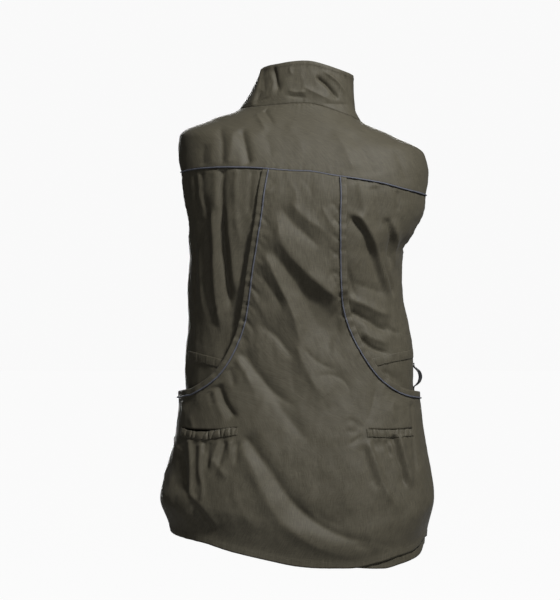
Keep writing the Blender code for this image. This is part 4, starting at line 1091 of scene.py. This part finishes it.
pocket_out += np.maximum(SIDE_DIP, puckered(drag, pocket_sides, depth=0.0020, seed=13.0))
pocket_out += hem_relief(pocket_from_hem)
pocket_out += hem_swing(pocket_angle, pocket_height)
pocket_grid = skin(pocket_angle, pocket_height, pocket_out)
game_pocket = sewn("game_pocket_panel", pocket_grid, olive, left_out=cut_left | cut_right)
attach(game_pocket, "vest")
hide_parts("game_pocket")
stitched("game_pocket_stitches", [inset(pocket_grid, "bottom", HEM_STITCHES)])

# Mouth bands: a folded self-fabric facing finishes each curved mouth outside the piping, topstitched along
# its free edge. The band stands off the inner back with the pocket, which leaves the mouth open.

BAND_WIDTH = 0.0115
BAND_STITCHES = 0.0020
MOUTH_SEAM = 0.0006
BAND_TUCK = 0.0025
PIPING_TUCK = 0.15
PIPING_SINK = 1.6
SINKING_POINTS = 7
# Across a band: the shares of its width, and how far it stands up there.
BAND_SHARES = np.array([0.0, 0.12, 0.3, 0.5, 0.7, 0.88, 1.0])
BAND_CROWN = np.array([0.0, 0.0003, 0.0005, 0.0004, 0.0005, 0.0003, -0.0002])
# Seating on a panel: how far off its points a ray starts, and how far a ray that misses it counts as going.
RAY_START = 0.05
MISSED = 1.0


def face_of(grid):
    """A panel's outer face, for seating what lies on it."""
    return BVHTree.FromPolygons(grid.reshape(-1, 3).tolist(), panel_faces(*grid.shape[:2]))


def above(face, points, normals):
    """How far points stand off a panel's face, along their own normals."""
    starts, ways = (points + RAY_START * normals).reshape(-1, 3), -normals.reshape(-1, 3)
    hits = [face.ray_cast(Vector(start), Vector(way))[3] for start, way in zip(starts, ways)]
    return np.array([MISSED if hit is None else hit for hit in hits]).reshape(points.shape[:-1]) - RAY_START


back_face = face_of(back_grid)
pocket_face = face_of(pocket_grid)

for side, edge, outer in (("R", pocket_grid[:, 0], -1), ("L", pocket_grid[:, -1], 1)):
    edge = edge[:POCKET_MOUTH_ROWS + 1]
    run = unit(np.gradient(edge, axis=0))
    angle = np.arctan2(edge[:, 0], edge[:, 1])
    normal = outward(angle, edge[:, 2] - rise_at(angle, edge[:, 2]))
    away = unit(np.cross(run, normal) * outer)
    near, far = edge + MOUTH_SEAM * away, edge + BAND_WIDTH * away
    far = far + np.maximum(0, POCKET_CLEARANCE - above(back_face, far, normal))[:, None] * normal
    far[0] = far[0] + BAND_TUCK * run[0]
    shares = BAND_SHARES[:, None]
    strip = near[:, None] * (1 - shares) + far[:, None] * shares + normal[:, None] * BAND_CROWN[:, None]
    ripples = puckered(run_length(strip, 0), BAND_WIDTH * (1 - BAND_SHARES), depth=0.0005, seed=21.0)
    strip = strip + normal[:, None] * ripples[..., None]
    strip = strip if outer > 0 else strip[:, ::-1]
    band = sewn("mouth_band_" + side, strip, olive)
    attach(band, "vest")
    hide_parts("pocket_band_" + side)
    free_edge = "right" if outer > 0 else "left"
    stitched("mouth_band_stitches_" + side, [inset(strip, free_edge, BAND_STITCHES)])
    from_end = np.arange(len(edge))[::-1, None]
    sunk = ease(1 - from_end / SINKING_POINTS) * (PIPING_SINK * PIPING_RADIUS)
    raised = edge + away * MOUTH_SEAM / 2 + normal * (PIPING_RADIUS + SEATING - sunk)
    raised[0] = raised[0] + (raised[1] - raised[0]) * PIPING_TUCK
    piping = roll("mouth_piping_" + side, raised, normal)
    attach(piping, "vest")
    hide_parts("pocket_piping_" + side)

# Elastic casings: a narrow tunnel with elastic in it, drawn up in puffed gathers. One lies under each slit
# hip pocket, and one at each side of the inner back takes in the waist.

HIP_LEFT = ((0.1090, -0.5635), (0.1250, -0.5655), (0.1450, -0.5695), (0.1640, -0.5725), (0.1820, -0.5710),
            (0.1975, -0.5670))
HIP_RIGHT = ((-0.1740, -0.5675), (-0.1370, -0.5685), (-0.1000, -0.5663))
WAIST_LEFT = ((0.1320, -0.4505), (0.1440, -0.4475), (0.176, -0.440), (0.2040, -0.432))
WAIST_RIGHT = ((-0.1890, -0.431), (-0.155, -0.4375), (-0.1215, -0.445), (-0.1080, -0.4480))
CASING_STEPS = 190
CASING_ROWS = 17
CASING_WALL = 0.0007
CASING_SEATING = 0.0003
CASING_STITCHES = 0.0018
PLEAT_HALF_WIDTH = 0.0012
PLEAT_PROFILE = 1.6
PLEAT_DEPTH, DEPTH_VARIES = 0.75, 0.55
PLEAT_LEANS, LEAN_VARIES = 0.4, 1.8
UNEVEN_LENGTH = 0.009
PUFF_VARIES = 0.5
PLEAT_PINCH = 0.9
PLEAT_SINK = 0.35
DEEPEST_SINK = -0.0002
SCALLOP = 0.0011
SCALLOP_VARIES = 0.0010
SCALLOP_AT_EDGE = 3
FULL_PUFF = 0.0022
LEAST_SCALLOP = 0.3
EDGE_DRAWN_IN = 0.0004
CASING_ENDS = 0.06
# name, node, line, width, how far the gathers puff out, how much the pleats lean, what carries it, and
# where each pleat lies as a share of the length from the vest's right
CASINGS = (
    ("hip_casing_left", "hip_casing_L", HIP_LEFT, 0.0128, 0.0024, 0.25, "game_pocket_panel",
     (0.04, 0.11, 0.21, 0.27, 0.39, 0.46, 0.53, 0.66, 0.72, 0.83, 0.91)),
    ("hip_casing_right", "hip_casing_R", HIP_RIGHT, 0.0124, 0.0017, 0.25, "game_pocket_panel",
     (0.06, 0.13, 0.24, 0.36, 0.44, 0.58, 0.63, 0.75, 0.81, 0.90, 0.96)),
    ("waist_casing_left", "waist_casing_L", WAIST_LEFT, 0.0150, 0.0007, 0.10, "back_panel",
     (0.22, 0.41, 0.58, 0.79, 0.93)),
    ("waist_casing_right", "waist_casing_R", WAIST_RIGHT, 0.0150, 0.0007, -0.20, "back_panel",
     (0.09, 0.27, 0.48, 0.56, 0.74)),
)


def gathered(length, width, puff, lean, pleats, seed):
    """How far a drawn-up casing's edges scallop and its cloth puffs out, for each row and step of it."""
    share = np.linspace(0, 1, CASING_STEPS)
    drop = np.linspace(0.5, -0.5, CASING_ROWS)[:, None]
    pleat = np.zeros((CASING_ROWS, CASING_STEPS))
    for k, middle in enumerate(pleats):
        deep = PLEAT_DEPTH + DEPTH_VARIES * noise.noise(Vector((k * 3.1, seed, 0.5)))
        leans = PLEAT_LEANS + LEAN_VARIES * noise.noise(Vector((k * 2.3, seed, 7.5)))
        away = np.abs(share + lean * leans * drop * width / length - middle) * length
        pleat += deep * np.exp(-((away / PLEAT_HALF_WIDTH) ** PLEAT_PROFILE))
    pinched = np.minimum(pleat, 1)
    uneven = np.array([noise.noise(Vector((s * length / UNEVEN_LENGTH, seed, 2.5))) for s in share])
    scallop = SCALLOP * (1 - pinched) + SCALLOP_VARIES * uneven
    scallop = scallop * np.sign(drop) * np.abs(2 * drop) ** SCALLOP_AT_EDGE
    scallop *= puff / FULL_PUFF * (1 - LEAST_SCALLOP) + LEAST_SCALLOP
    round_over = np.sqrt(np.clip(1 - (2 * drop) ** 2, 0, 1)) * (1 + PUFF_VARIES * uneven)
    ends = ease(share / CASING_ENDS) * ease((1 - share) / CASING_ENDS)
    relief = (puff * round_over * (1 - PLEAT_PINCH * pinched) - PLEAT_SINK * puff * pleat) * ends
    return drop * width + scallop - EDGE_DRAWN_IN * np.sign(drop), np.maximum(relief, DEEPEST_SINK)


for seed, (name, node, places, width, puff, lean, carrier, pleats) in enumerate(CASINGS, 51):
    line = along(mapped(places), CASING_STEPS)
    length = float(np.sum(np.linalg.norm(np.diff(line * (GIRTH_RADIUS, 1), axis=0), axis=1)))
    drop, relief = gathered(length, width, puff, lean, pleats, seed)
    height = line[:, 1] + drop
    angle = np.broadcast_to(line[:, 0], height.shape)
    face = pocket_face if carrier == "game_pocket_panel" else back_face
    seated = -above(face, skin(angle, height, 0), outward(angle, height))
    grid = skin(angle, height, seated + CASING_SEATING + CASING_WALL + relief)
    casing = sewn(name, grid, olive, CASING_WALL)
    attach(casing, "vest")
    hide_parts(node)
    stitched(name + "_stitches", [inset(grid, edge, CASING_STITCHES) for edge in ("top", "bottom")])

# Zip: two dark woven tapes, each sewn behind the edge of a front, with a row of dark zinc teeth clamped on
# the edge that shows. The teeth of one side lie half a pitch off those of the other, so that they mesh.

TAPE_WALL = 0.0009
TAPE_SHOWS = 0.0034
# How far each column of a tape lies in from its toothed edge, and how far behind the front's inner face it
# lies.
TAPE_COLUMNS = np.array([0.014, 0.006, 0.003, 0.0])
TAPE_BEHIND = 0.0005
TOOTH_PITCH = 0.0025
TOOTH_SIZE = (0.0026, 0.0012, 0.0014)
TOOTH_EDGE = 0.0002
TEETH_STOP = 0.002
tape_finish = woven_finish("zip tape", dyed=(0.030, 0.029, 0.024), worn=(0.045, 0.043, 0.036), wear=0.4,
                           pitch=0.0010, slub=0.10, rough=0.72, relief=0.00012, sheen=0.05)
zinc = bpy.data.materials.new("dark zinc")
zinc.use_nodes = True
metal = zinc.node_tree.nodes["Principled BSDF"]
metal.inputs["Metallic"].default_value = 1.0
tarnish = zinc.node_tree.nodes.new("ShaderNodeTexNoise")
tarnish.inputs["Scale"].default_value = 900.0
tarnish.inputs["Detail"].default_value = 3.0
dull = zinc.node_tree.nodes.new("ShaderNodeMapRange")
dull.inputs["To Min"].default_value = 0.28
dull.inputs["To Max"].default_value = 0.48
zinc.node_tree.links.new(tarnish.outputs["Fac"], dull.inputs["Value"])
zinc.node_tree.links.new(dull.outputs[0], metal.inputs["Roughness"])
grey = zinc.node_tree.nodes.new("ShaderNodeMix")
grey.data_type = "RGBA"
grey.inputs["A"].default_value = (0.085, 0.085, 0.088, 1)
grey.inputs["B"].default_value = (0.17, 0.165, 0.155, 1)
zinc.node_tree.links.new(tarnish.outputs["Fac"], grey.inputs["Factor"])
zinc.node_tree.links.new(grey.outputs["Result"], metal.inputs["Base Color"])


def zip_half(side, sign, height, edge_angle, edge_out):
    """One tape with its teeth, behind a front's edge with these heights, angles and distances out."""
    tape_angle = edge_angle[:, None] + (TAPE_SHOWS - TAPE_COLUMNS) / ring("front", height)[:, None]
    tape = skin(sign * tape_angle, height[:, None], edge_out[:, None] - CLOTH_WALL - TAPE_BEHIND)
    shown = tape if sign > 0 else tape[:, ::-1]
    zip_tape = sewn("zip_tape_" + side, shown, tape_finish, TAPE_WALL)
    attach(zip_tape, "vest")
    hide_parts("zip_tape_" + side[0].upper())
    path, normal = tape[:, -1], face_normals(shown)[:, -1 if sign > 0 else 0]
    length = lengths(path)
    start = 0.5 if sign > 0 else 1.0
    places = (np.arange(int(length[-1] / TOOTH_PITCH)) + start) * TOOTH_PITCH
    teeth = bmesh.new()
    for at in places[places <= length[-1] - TEETH_STOP]:
        middle = at_length(at, length, path) + at_length(at, length, normal) * (TOOTH_SIZE[1] / 2)
        for vertex in bmesh.ops.create_cube(teeth, size=1)["verts"]:
            vertex.co = Vector(np.array(vertex.co) * TOOTH_SIZE + middle)
    mesh = bpy.data.meshes.new("zip_teeth_" + side)
    teeth.to_mesh(mesh)
    teeth.free()
    zip_teeth = in_scene("zip_teeth_" + side, mesh, zinc)
    rounded = zip_teeth.modifiers.new("rounded", "BEVEL")
    rounded.width = TOOTH_EDGE
    rounded.segments = 1
    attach(zip_teeth, "vest")


# Fronts: one panel on each side, from the shoulder and side seams to the zip edge. They hang plainly, with
# slanting creases from the armhole and upright ones over the belly. The photo doesn't show them.

CENTRE_FRONT = math.radians(183)
# Angles in degrees and heights down the armhole's front, from the side seam up to the shoulder.
FRONT_ARMHOLE = ((103, -0.262), (108, -0.250), (113, -0.225), (115, -0.185), (111, -0.140), (103, -0.108))
FRONT_HEM = -0.735
SIDE_SEAM_TOP = UNDERARM - 0.001
UNDERARM_TURN = 0.020
SIDE_RADIUS = 0.2
ZIP_CLOSED_TO = -0.190
ZIP_HALF_GAP = 0.004
NECK_HALF_GAP = 0.032
FRONT_ROWS = (30, 44, 14, 90)
FRONT_COLUMNS = 72
FRONT_SOFTENS = 60
FRONT_FROM_EDGE = 0.03
ARMHOLE_HEM_ENDS = 0.004
ARMHOLE_STITCH_ROWS = 8
FRONT_DEEPEST = -0.008
FRONT_HIGHEST = 0.0068
ZIP_EDGE_STITCHES = 0.0015
# Angles in degrees and heights, on the left front; the right front has the same creases with its own
# unevenness.
FRONT_CREASES = (
    (-0.0050, 0.010, 0.014, 0.30, 0.30, (118, -0.245), (133, -0.285), (150, -0.330)),
    (0.0045, 0.014, 0.013, 0.30, 0.30, (112, -0.270), (126, -0.335), (138, -0.400)),
    (-0.0050, 0.012, 0.016, 0.30, 0.30, (108, -0.440), (125, -0.468), (140, -0.500)),
    (0.0040, 0.014, 0.012, 0.30, 0.30, (165, -0.430), (149, -0.452), (135, -0.480)),
    (0.0055, 0.016, 0.014, 0.25, 0.40, (120, -0.560), (123, -0.640), (128, -0.715)),
    (-0.0050, 0.012, 0.015, 0.25, 0.40, (145, -0.570), (149, -0.640), (150, -0.720)),
    (-0.0022, 0.007, 0.010, 0.30, 0.40, (160, -0.240), (162, -0.300), (158, -0.350)),
    (0.0020, 0.009, 0.008, 0.30, 0.30, (128, -0.150), (136, -0.195), (150, -0.225)),
    (-0.0020, 0.006, 0.008, 0.30, 0.40, (132, -0.590), (135, -0.650), (134, -0.700)),
    (0.0022, 0.009, 0.007, 0.30, 0.40, (162, -0.600), (164, -0.660), (161, -0.715)),
)


def traced_on_front(places):
    line = np.array([(math.radians(angle), height) for angle, height in places])
    return along(line, STEPS_PER_PLACE * len(places)) * (GIRTH_RADIUS, 1)


def front_gap(height):
    """Half the gap between the fronts, as an angle: narrow along the closed zip, open to the neck."""
    opened = np.clip(1 - height / ZIP_CLOSED_TO, 0, 1)
    return (ZIP_HALF_GAP + opened * (NECK_HALF_GAP - ZIP_HALF_GAP)) / ring("front", height)


def front_outer(height, side_angle):
    """A front's outer edge as an angle: up the side seam, round the armhole and along the shoulder."""
    side = math.degrees(abs(side_angle))
    shift = math.degrees(abs(side_angle) - SIDE_SEAM_LEFT)
    rows = [(FORM_FOOT, side), (SIDE_SEAM_TOP, side)]
    rows += [(at, angle + shift) for angle, at in FRONT_ARMHOLE]
    rows += [(SHOULDER_TIP, math.degrees(SHOULDER_SEAM)), (0.0, math.degrees(SHOULDER_SEAM))]
    return np.radians(smooth(*zip(*rows), height))


stops = (-SEAM_GAP / 2, SHOULDER_TIP, UNDERARM + UNDERARM_TURN, SIDE_SEAM_TOP, FRONT_HEM)
spans = [np.linspace(top, foot, rows + 1)[1:] for top, foot, rows in zip(stops[:-1], stops[1:], FRONT_ROWS)]
front_heights = np.concatenate([stops[:1], *spans])
front_share = np.linspace(0, 1, FRONT_COLUMNS + 1)
for side, sign, side_angle in (("left", 1, SIDE_SEAM_LEFT), ("right", -1, SIDE_SEAM_RIGHT)):
    centre = CENTRE_FRONT if sign > 0 else 2 * math.pi - CENTRE_FRONT
    outer = front_outer(front_heights, side_angle) + SEAM_GAP / SIDE_RADIUS
    inner = centre - front_gap(front_heights)
    angle = outer[:, None] * (1 - front_share) + inner[:, None] * front_share
    height = np.broadcast_to(front_heights[:, None], angle.shape)
    plain = skin(sign * angle, height, 0.0)
    flat = np.stack([angle * GIRTH_RADIUS, height], axis=-1)
    from_outer, from_zip = run_length(plain, 1), run_back(plain, 1)
    from_hem, from_neck = run_back(plain, 0), run_length(plain, 0)
    uneven = crumpled(plain, size=0.06, depth=0.0010, seed=31.0 if sign > 0 else 37.0)
    out = creased(FRONT_CREASES, flat, traced_on_front) * (1 + FRONT_SOFTENS * uneven)
    out += uneven * ease(from_zip / FRONT_FROM_EDGE) * ease(from_neck / FRONT_FROM_EDGE)
    out += (puckered(from_neck, from_outer, depth=0.0009, seed=33.0 + sign)
            + puckered(from_neck, from_zip, depth=0.0007, seed=35.0 + sign))
    out += puckered(flat[..., 0], from_hem, depth=0.0009, seed=34.0 + sign)
    out += hem_relief(from_hem) + hem_relief(from_outer) * ease((height - UNDERARM) / ARMHOLE_HEM_ENDS)
    out = np.clip(out, FRONT_DEEPEST, FRONT_HIGHEST)
    grid = skin(sign * angle, height, out)
    grid = grid if sign > 0 else grid[:, ::-1]
    front = sewn("front_panel_" + side, grid, olive)
    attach(front, "vest")
    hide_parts("front_" + side)
    zip_edge, armhole_edge = ("left", "right") if sign > 0 else ("right", "left")
    armhole = grid[FRONT_ROWS[0]:sum(FRONT_ROWS[:2]) + ARMHOLE_STITCH_ROWS]
    stitched("front_stitches_" + side, [
        inset(grid, "bottom", HEM_STITCHES),
        inset(grid, zip_edge, ZIP_EDGE_STITCHES),
        inset(grid, zip_edge, EDGE_STITCHES),
        inset(armhole, armhole_edge, EDGE_STITCHES),
    ])
    zip_half(side, sign, front_heights, inner, out[:, -1])

# Zip slider and pull tab: cast in zinc and plated dark, as the teeth are. The slider stays where it is, at
# the top of the closed stretch, and the tab hinges on its bail.

for node in ("zip_slider", "zip_pull"):
    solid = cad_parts[node]
    solid.data.materials.clear()
    solid.data.materials.append(zinc)

# Collar: a double layer of the same cloth, standing up from the neck seam and leaning in towards its top.
# It is soft, so it creases and folds over a little, and is topstitched near its rolled edge and its seam.

COLLAR_COLUMNS = ("share", "left", "right", "back", "front")
COLLAR_RINGS = (
    (0.00, 0.1130, 0.0990, 0.0650, 0.0720), (0.25, 0.1020, 0.0900, 0.0640, 0.0715),
    (0.65, 0.0860, 0.0870, 0.0620, 0.0705), (1.00, 0.0745, 0.0860, 0.0590, 0.0700),
)
COLLAR = by_name(COLLAR_COLUMNS, COLLAR_RINGS)
COLLAR_HEIGHT = {"back": 0.0740, "left": 0.0700, "right": 0.0790, "front": 0.0620}
COLLAR_WALL = 0.0023
COLLAR_RADIUS = 0.088
COLLAR_TALL = 0.072
COLLAR_ROUND = 230
COLLAR_ROWS = 56
COLLAR_TUCK = -0.035
COLLAR_STITCHES = 0.0046
# The rolled edge: how thick its roll is, how far down it lies, and its half width. The seam: how deep it is
# drawn in.
ROLL_RELIEF, ROLL_DOWN, ROLL_HALF = 0.0007, 0.0045, 0.0035
SEAM_DRAWN_IN, SEAM_REACH = 0.0012, 0.0032
ROLLED_EDGE = 0.0009
# The size of a pixel of the photo at the vest's middle, and how much nearer to the camera the collar's
# back is.
PHOTO_PIXEL = 0.00175
COLLAR_DEPTH = 0.061
COLLAR_PIXEL = PHOTO_PIXEL * (CAMERA_AWAY - COLLAR_DEPTH) / CAMERA_AWAY
# Finding a place on the collar: the rounds it takes, and how far x and z change with the angle and the
# share.
PLACING_ROUNDS = 40
PLACING_STEP = 0.11


def stand(angle, share):
    """A point of the collar at a share of its height."""
    part = {name: smooth(COLLAR["share"], COLLAR[name], share) for name in COLLAR_COLUMNS[1:]}
    sine, cosine = np.sin(angle), np.cos(angle)
    wide = np.where(sine > 0, part["left"], part["right"])
    far = reach(angle, wide, np.where(cosine > 0, part["back"], part["front"]))
    sides = np.where(sine > 0, COLLAR_HEIGHT["left"], COLLAR_HEIGHT["right"])
    ends = np.where(cosine > 0, COLLAR_HEIGHT["back"], COLLAR_HEIGHT["front"])
    tall = sides * sine**2 + ends * cosine**2
    z = rise_at(angle, 0.0) + SEAM_GAP + share * (tall - SEAM_GAP)
    return np.stack([far * sine, far * cosine, np.broadcast_to(z, far.shape)], axis=-1)


def traced_on_collar(places):
    """A crease's line round and up the collar's flat cloth, from the pixels that it runs through."""
    line = []
    for pixel in places:
        x, z = seen_at(pixel, COLLAR_PIXEL)
        angle, share = 0.0, 0.5
        for _ in range(PLACING_ROUNDS):
            spot = stand(np.array(angle), np.array(share))
            angle += (x - spot[0]) / PLACING_STEP
            share += (z - spot[2]) / PLACING_STEP
            share = min(max(share, 0.0), 1.0)
        line.append((angle, share))
    line = np.array(line) * (COLLAR_RADIUS, COLLAR_TALL)
    return evened(line, lengths(line), STEPS_PER_PLACE * len(places))


COLLAR_CREASES = (
    (-0.0055, 0.009, 0.005, 0.2, 0.3, (273, 61), (275, 75), (280, 94)),
    (0.002, 0.0045, 0.005, 0.25, 0.4, (269, 70), (273, 84), (271, 98)),
    (-0.0018, 0.003, 0.004, 0.3, 0.3, (264, 76), (265, 92)),
    (0.0016, 0.004, 0.004, 0.2, 0.3, (289, 66), (292, 76)),
    (-0.0065, 0.0036, 0.004, 0.2, 0.2, (315, 76), (328, 86), (340, 100)),
    (0.0042, 0.004, 0.004, 0.3, 0.3, (322, 70), (336, 80), (347, 96)),
    (0.0024, 0.005, 0.005, 0.3, 0.3, (300, 86), (318, 94), (334, 101)),
    (-0.0023, 0.0036, 0.004, 0.25, 0.3, (284, 95), (296, 97), (309, 98)),
    (0.002, 0.0036, 0.0036, 0.3, 0.3, (286, 90), (298, 92), (308, 92)),
    (-0.002, 0.003, 0.0034, 0.3, 0.3, (322, 104), (336, 104), (350, 103)),
    (-0.0018, 0.003, 0.003, 0.3, 0.3, (340, 66), (347, 78), (352, 92)),
    (0.0037, 0.012, 0.0045, 0.1, 0.12, (264, 64), (259, 84), (254, 106)),
    (-0.0023, 0.0026, 0.0026, 0.3, 0.2, (262, 88), (258, 97), (254, 105)),
    (-0.002, 0.0024, 0.0024, 0.3, 0.3, (253, 104), (262, 99), (270, 97)),
    (0.0011, 0.008, 0.008, 0.3, 0.3, (300, 70), (303, 84), (300, 98)),
)

end_left = CENTRE_FRONT - front_gap(0.0)
end_right = CENTRE_FRONT - 2 * math.pi + front_gap(0.0)
collar_angle = np.linspace(end_right, end_left, COLLAR_ROUND + 1)
collar_share = np.linspace(1, COLLAR_TUCK, COLLAR_ROWS + 1)[:, None]
collar_angle, collar_share = np.broadcast_arrays(collar_angle, collar_share)
collar_form = stand(collar_angle, collar_share)
collar_flat = np.stack([collar_angle * COLLAR_RADIUS, collar_share * COLLAR_TALL], axis=-1)
collar_from_top = run_length(collar_form, 0)
collar_from_seam = run_back(collar_form, 0)
collar_out = creased(COLLAR_CREASES, collar_flat, traced_on_collar)
collar_out += (crumpled(collar_form, size=0.045, depth=0.0012, seed=41.0)
               + crumpled(collar_form, size=0.016, depth=0.0005, seed=44.0))
collar_out += puckered(collar_flat[..., 0], collar_from_seam, depth=0.0008, seed=42.0)
collar_out += puckered(collar_flat[..., 0], collar_from_top, depth=0.0004, seed=43.0)
collar_out += ROLL_RELIEF * np.exp(-(((collar_from_top - ROLL_DOWN) / ROLL_HALF) ** 2))
collar_out -= SEAM_DRAWN_IN * ease((SEAM_REACH - collar_from_seam) / SEAM_DRAWN_IN)
collar_grid = collar_form + collar_out[..., None] * face_normals(collar_form)
collar = sewn("collar_stand", collar_grid, olive, COLLAR_WALL)
rolled = collar.modifiers.new("rolled edge", "BEVEL")
rolled.width = ROLLED_EDGE
rolled.segments = 3
rolled.limit_method = "ANGLE"
rolled.angle_limit = math.radians(60)
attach(collar, "vest")
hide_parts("collar")
stitched("collar_stitches", [
    inset(collar_grid, "top", EDGE_STITCHES),
    inset(collar_grid, "bottom", COLLAR_STITCHES),
])

# Webbing loop: black woven webbing sewn at both ends beside the right side seam, and bowed out between them
# so that a toggle goes through it.

LOOP_ANGLE = math.radians(-91)
LOOP_WIDTH = 0.018
LOOP_STEPS = 60
LOOP_COLUMNS = 13
LOOP_SEATING = 0.0007
LOOP_TWIST = 0.36
LOOP_STITCHES = 0.0030
WEBBING_WALL = 0.0015
# How far the loop stands out, and its height, from its upper end to its lower one.
LOOP_PATH = np.array([
    (0.0000, -0.4490), (0.0003, -0.4550), (0.0050, -0.4595), (0.0098, -0.4655), (0.0116, -0.4735),
    (0.0098, -0.4815), (0.0050, -0.4875), (0.0003, -0.4915), (0.0000, -0.4975),
])
black = woven_finish("black webbing", dyed=(0.012, 0.012, 0.013), worn=(0.020, 0.020, 0.022), wear=0.4,
                     pitch=0.0016, slub=0.12, rough=0.55, relief=0.00025, sheen=0.06)
loop_share = np.linspace(0, 1, LOOP_STEPS)
path_share = np.linspace(0, 1, len(LOOP_PATH))
loop_out, loop_height = (smooth(path_share, part, loop_share)[:, None] for part in LOOP_PATH.T)
loop_across = np.linspace(-0.5, 0.5, LOOP_COLUMNS) * LOOP_WIDTH
loop_turn = loop_across / ring("right", LOOP_PATH[:, 1].mean())
loop_out = loop_out + WEBBING_WALL + LOOP_SEATING
loop_out = loop_out - LOOP_TWIST * loop_across * np.sin(math.pi * loop_share)[:, None]
loop_grid = skin(LOOP_ANGLE + loop_turn, loop_height, loop_out)
webbing = sewn("webbing", loop_grid, black, WEBBING_WALL)
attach(webbing, "vest")
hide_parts("webbing_loop")
stitched("webbing_stitches", [inset(loop_grid, edge, LOOP_STITCHES) for edge in ("top", "bottom")])

# Plain pale floor and soft studio light: the key stands behind the vest on its right, high up, so that the
# creases of the left half fall into shade. The camera looks straight at the back, as the photo does.

FLOOR_HALF = 40
FLOOR_HEIGHT = -1.70
LIT_PLACE = Vector((0.02, 0.05, -0.36))
# name, place, size and power
LAMPS = (
    ("key", (-1.6, 2.35, 2.2), 0.5, 172),
    ("fill", (1.1, 2.6, -1.8), 2.0, 27),
    ("front", (0.3, -3.2, 0.2), 2.0, 190),
)
SENSOR = 36
PHOTO_HEIGHT = 600

floor_sides = ((-1, -1), (1, -1), (1, 1), (-1, 1))
floor_corners = [(x * FLOOR_HALF, y * FLOOR_HALF, FLOOR_HEIGHT) for x, y in floor_sides]
floor_mesh = bpy.data.meshes.new("floor")
floor_mesh.from_pydata(floor_corners, [], [(0, 1, 2, 3)])
pale = bpy.data.materials.new("pale floor")
pale.use_nodes = True
pale_shader = pale.node_tree.nodes["Principled BSDF"]
pale_shader.inputs["Base Color"].default_value = (0.14, 0.14, 0.14, 1)
pale_shader.inputs["Emission Color"].default_value = (0.945, 0.945, 0.945, 1)
pale_shader.inputs["Roughness"].default_value = 0.9
looked_at = pale.node_tree.nodes.new("ShaderNodeLightPath")
pale.node_tree.links.new(looked_at.outputs["Is Camera Ray"], pale_shader.inputs["Emission Strength"])
floor = in_scene("floor", floor_mesh, pale)

world = bpy.data.worlds.new("studio")
world.use_nodes = True
studio = world.node_tree
soft_light = studio.nodes["Background"]
soft_light.inputs["Color"].default_value = (1.0, 1.0, 1.0, 1)
soft_light.inputs["Strength"].default_value = 0.055
backdrop = studio.nodes.new("ShaderNodeBackground")
backdrop.inputs["Color"].default_value = (0.95, 0.95, 0.95, 1)
seen = studio.nodes.new("ShaderNodeLightPath")
either = studio.nodes.new("ShaderNodeMixShader")
studio.links.new(seen.outputs["Is Camera Ray"], either.inputs[0])
studio.links.new(soft_light.outputs[0], either.inputs[1])
studio.links.new(backdrop.outputs[0], either.inputs[2])
studio.links.new(either.outputs[0], studio.nodes["World Output"].inputs["Surface"])
bpy.context.scene.world = world
for name, place, size, power in LAMPS:
    lamp = bpy.data.lights.new(name, "AREA")
    lamp.energy = power
    lamp.size = size
    light = bpy.data.objects.new(name, lamp)
    light.location = place
    light.rotation_euler = (LIT_PLACE - Vector(place)).to_track_quat("-Z", "Y").to_euler()
    bpy.context.scene.collection.objects.link(light)

view = bpy.data.cameras.new("photo")
view.sensor_width = SENSOR
view.lens = SENSOR * CAMERA_AWAY / (PHOTO_HEIGHT * PHOTO_PIXEL)
camera = bpy.data.objects.new("photo", view)
camera.location = (MIDDLE_PLACE[0], CAMERA_AWAY, MIDDLE_PLACE[1])
camera.rotation_euler = (math.radians(90), 0, math.radians(180))
bpy.context.scene.collection.objects.link(camera)
bpy.context.scene.camera = camera
bpy.context.scene.view_settings.view_transform = "Standard"
